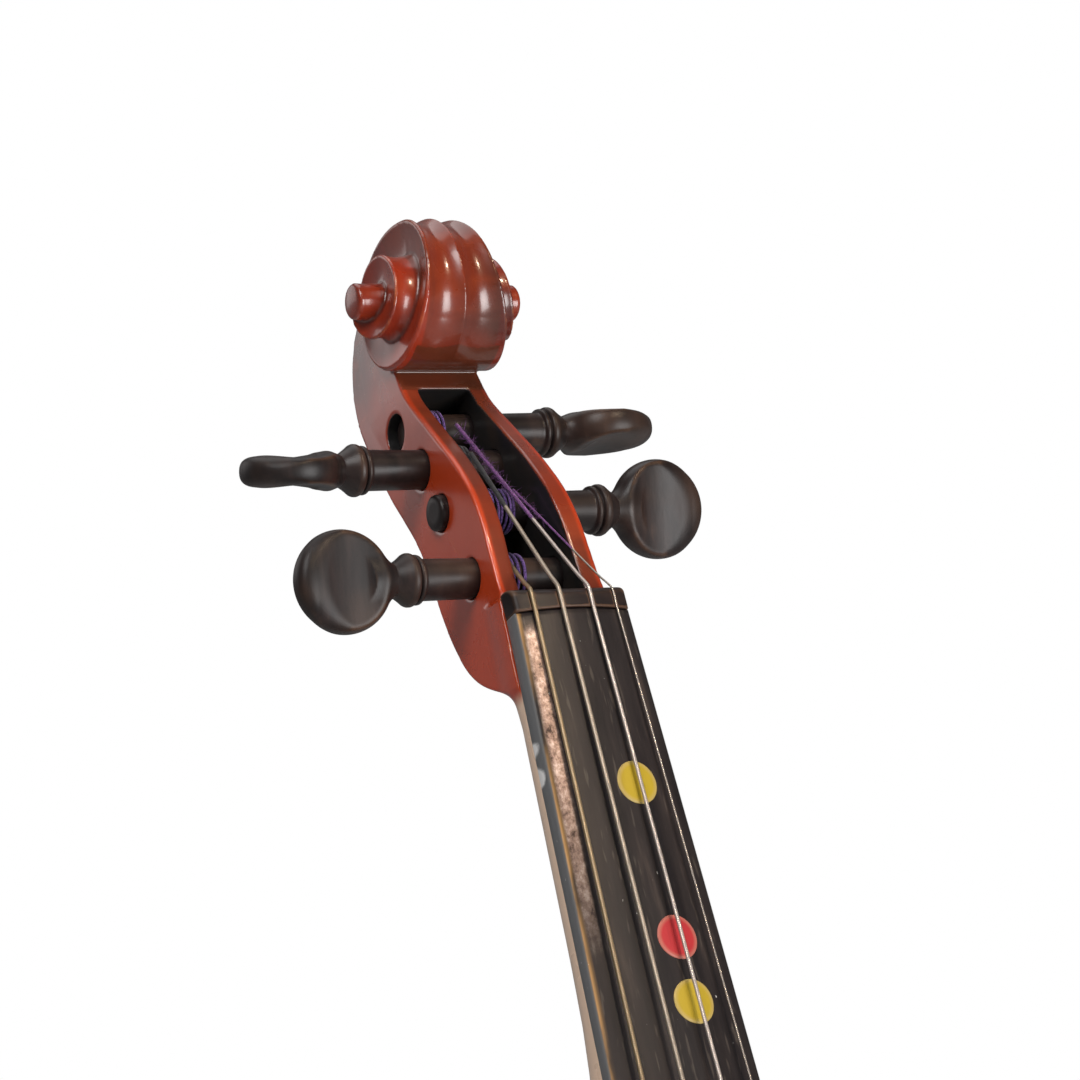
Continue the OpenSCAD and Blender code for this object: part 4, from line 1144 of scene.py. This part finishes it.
def build_plate(name, material, nodes, side, field, y):
    points, faces = skin(field.astype(np.float32), (body_x[0], y[0], body_z[0]), BODY_STEP)
    edge, wear = edge_values(points), wear_values(points, faces, BODY_STEP)
    shown = points[:, 1] > 1.0
    points = np.column_stack([points[:, 0], side * (HALF_RIB + 0.02 + points[:, 1]), points[:, 2] + BODY_Z])
    if side < 0:
        faces = faces[:, ::-1]
    mesh = make_mesh(name, points, faces)
    attribute(mesh, "edge", np.where(shown, edge, 20.0))
    attribute(mesh, "wear", wear)
    piece(name, mesh, material, ROOT, nodes)


def build_body():
    y = axis_of(-1.6, ARCH + 1.6, BODY_STEP)
    field = plate_field(y, 1.0)
    holes = sound_hole_distance()
    front = smax(field, -holes[:, None, :] + 0 * field, 0.5)
    saddle_low, saddle_high = box_mm("saddle")
    room_high = (saddle_high[0] + 0.1, saddle_high[2] - BODY_Z + 0.1)
    front = cut_room((saddle_low[0] - 0.1, -9), room_high, front)
    build_plate("arched_top", MAT["top"], ["top_plate", "top_purfling"], -1, front, y)
    build_plate("arched_back", MAT["back"], ["back_plate", "back_purfling"], 1, field, y)
    # the button that the heel stands on
    step, low, high = 0.4, (-11, HALF_RIB - 0.6, BODY_L - 6), (11, HALF_RIB + 4.6, BODY_L + 15)
    x, yy, z = grid(low, high, step)
    root = np.maximum(np.abs(x) - 9.5, np.abs(z - BODY_L + 0.5) - 3.2)
    disc = np.minimum(np.hypot(x, z - BODY_L - 2.6) - 9.5, root)
    button = smax(smax(disc + 0 * yy, yy - HALF_RIB - PLATE_T, 1.2), HALF_RIB + 0.02 - yy, 0.3)
    points, faces = skin(button.astype(np.float32), low, step)
    mesh = make_mesh("back_button", points + [0, 0, BODY_Z], faces)
    attribute(mesh, "edge", np.full(len(points), 12.0))
    piece("back_button", mesh, MAT["back"], ROOT, [])
    # the ribs, one continuous band with mitred corners
    y = axis_of(-HALF_RIB - 1, HALF_RIB + 1, BODY_STEP)
    band = np.maximum(EDGE_FIELD + OVERHANG, -EDGE_FIELD - OVERHANG - 1.6)[:, None, :] + 0 * y[None, :, None]
    band = np.maximum(band, np.abs(y)[None, :, None] - HALF_RIB + 0.02)
    band = np.maximum(band, 4.4 - np.hypot(bx[:, None, :], y[None, :, None]) - 9 * (bz[:, None, :] > 20))
    points, faces = skin(band.astype(np.float32), (body_x[0], y[0], body_z[0]), BODY_STEP)
    mesh = make_mesh("ribs", points + [0, 0, BODY_Z], faces)
    attribute(mesh, "edge", np.full(len(points), 12.0))
    ribs = ["rib_%s_%s" % (a, b) for a in ("upper", "waist", "lower") for b in ("bass", "treble")]
    piece("ribs", mesh, MAT["back"], ROOT, ribs)


# ---- run
build_head()
build_neck()
build_board()
build_nut()
build_dots()
build_pegs()
build_windings()
build_strings()
build_body()

# CAD pieces that show as they are, or stay inside the body
FINISH = {
    "spruce": ["bass_bar", "sound_post", "upper_block", "end_block", "corner_blocks"]
    + ["front_linings", "back_linings"],
    "nut": ["saddle", "end_button"],
    "bridge": ["bridge"],
    "tail": ["tailpiece"],
    "gut": ["tail_gut"],
    "rest": ["chin_rest"],
    "cork": ["chin_rest_cork"],
    "steel": ["tuner_pivot_pin", "chin_rest_posts", "chin_rest_foot"]
    + ["chin_rest_barrel_inner", "chin_rest_barrel_outer"]
    + ["tuner_%s_%s" % (a, n) for a in ("lever", "screw") for n in NAMES],
    "brass": ["ball_end_" + n for n in NAMES],
}
for kind, nodes in FINISH.items():
    for node in nodes:
        mesh = frame["nodes"][node].data
        mesh.materials.clear()
        mesh.materials.append(MAT[kind])


# ---- stage, lights and camera
def build_stage():
    low, high = cad_box
    bpy.ops.mesh.primitive_plane_add(size=8, location=(0, 0, low.z - 0.001))
    floor = bpy.context.object
    floor.name = "studio_floor"
    p = Paint("floor_pale", Roughness=0.9)
    p.set(Base_Color=(0.82, 0.82, 0.82))
    floor.data.materials.append(p.material)


def build_world():
    """White where the camera looks past the piece; a dim gradient for everything else."""
    world = bpy.data.worlds.new("studio")
    bpy.context.scene.world = world
    world.use_nodes = True
    tree = world.node_tree
    seen = add_node(tree, "ShaderNodeBackground", {"Color": (1, 1, 1), "Strength": 1.0})
    coords = add_node(tree, "ShaderNodeTexCoord", {})
    split = add_node(tree, "ShaderNodeSeparateXYZ", {0: coords.outputs["Generated"]})
    inputs = {"Value": split.outputs["Y"], "From Min": -1, "From Max": 1}
    shift = add_node(tree, "ShaderNodeMapRange", inputs)
    ramp = add_node(tree, "ShaderNodeValToRGB", {"Fac": shift.outputs[0]})
    near, far = ramp.color_ramp.elements
    near.position, near.color = 0.25, (0.09, 0.09, 0.10, 1)
    far.position, far.color = 0.8, (0.95, 0.95, 0.97, 1)
    dim = add_node(tree, "ShaderNodeBackground", {"Color": ramp.outputs["Color"], "Strength": 0.17})
    path = add_node(tree, "ShaderNodeLightPath", {})
    inputs = {"Fac": path.outputs["Is Camera Ray"], 1: dim.outputs[0], 2: seen.outputs[0]}
    mix = add_node(tree, "ShaderNodeMixShader", inputs)
    tree.links.new(mix.outputs[0], tree.nodes["World Output"].inputs["Surface"])


def soft_box(name, towards, distance, size, power, colour=(1, 1, 1), spread=180):
    """An area light that far from the nut in that direction, facing it."""
    centre = HEAD.translation
    light = bpy.data.lights.new(name, "AREA")
    light.shape = "RECTANGLE"
    light.size, light.size_y = size
    light.energy = power
    light.color = colour
    light.spread = math.radians(spread)
    obj = bpy.data.objects.new(name, light)
    bpy.context.scene.collection.objects.link(obj)
    way = Vector(towards).normalized()
    obj.location = centre + way * distance
    obj.rotation_euler = (-way).to_track_quat("-Z", "Y").to_euler()


def build_lights():
    soft_box("key_left_high", (-0.75, -0.75, 0.75), 1.1, (0.45, 0.6), 1.25, spread=70)
    soft_box("front_low", (0.28, -0.87, -0.34), 0.75, (0.45, 0.50), 1.8, spread=90)
    soft_box("back_left_high", (-0.46, 0.83, 0.63), 1.13, (0.5, 0.5), 0.95, (1.0, 0.93, 0.92))
    soft_box("warm_lamp", (0.14, -0.83, 0.54), 1.5, (0.10, 0.10), 0.75, (1.0, 0.78, 0.55), spread=60)
    overhead = bpy.data.lights.new("overhead", "SUN")
    overhead.energy, overhead.angle = 0.8, math.radians(50)
    obj = bpy.data.objects.new("overhead", overhead)
    bpy.context.scene.collection.objects.link(obj)
    obj.rotation_euler = (math.radians(-8), 0, 0)


LENS_MM = 4000 / 1080 * 36
LOOK = Vector((0.48303, 0.83023, 0.27824))
UP = Vector((0.01957, -0.32793, 0.94450))
FROM_NUT = Vector((-0.33627, -0.56989, -0.17791))


def build_camera():
    camera = bpy.data.cameras.new("camera")
    camera.lens = LENS_MM
    camera.sensor_width = 36
    obj = bpy.data.objects.new("camera", camera)
    bpy.context.scene.collection.objects.link(obj)
    right = LOOK.cross(UP).normalized()
    up = right.cross(LOOK).normalized()
    turn = Matrix((right, up, -LOOK.normalized())).transposed().to_4x4()
    obj.matrix_world = Matrix.Translation(HEAD.translation + FROM_NUT) @ turn
    bpy.context.scene.camera = obj


bpy.context.scene.view_settings.view_transform = "Standard"
build_stage()
build_world()
build_lights()
build_camera()
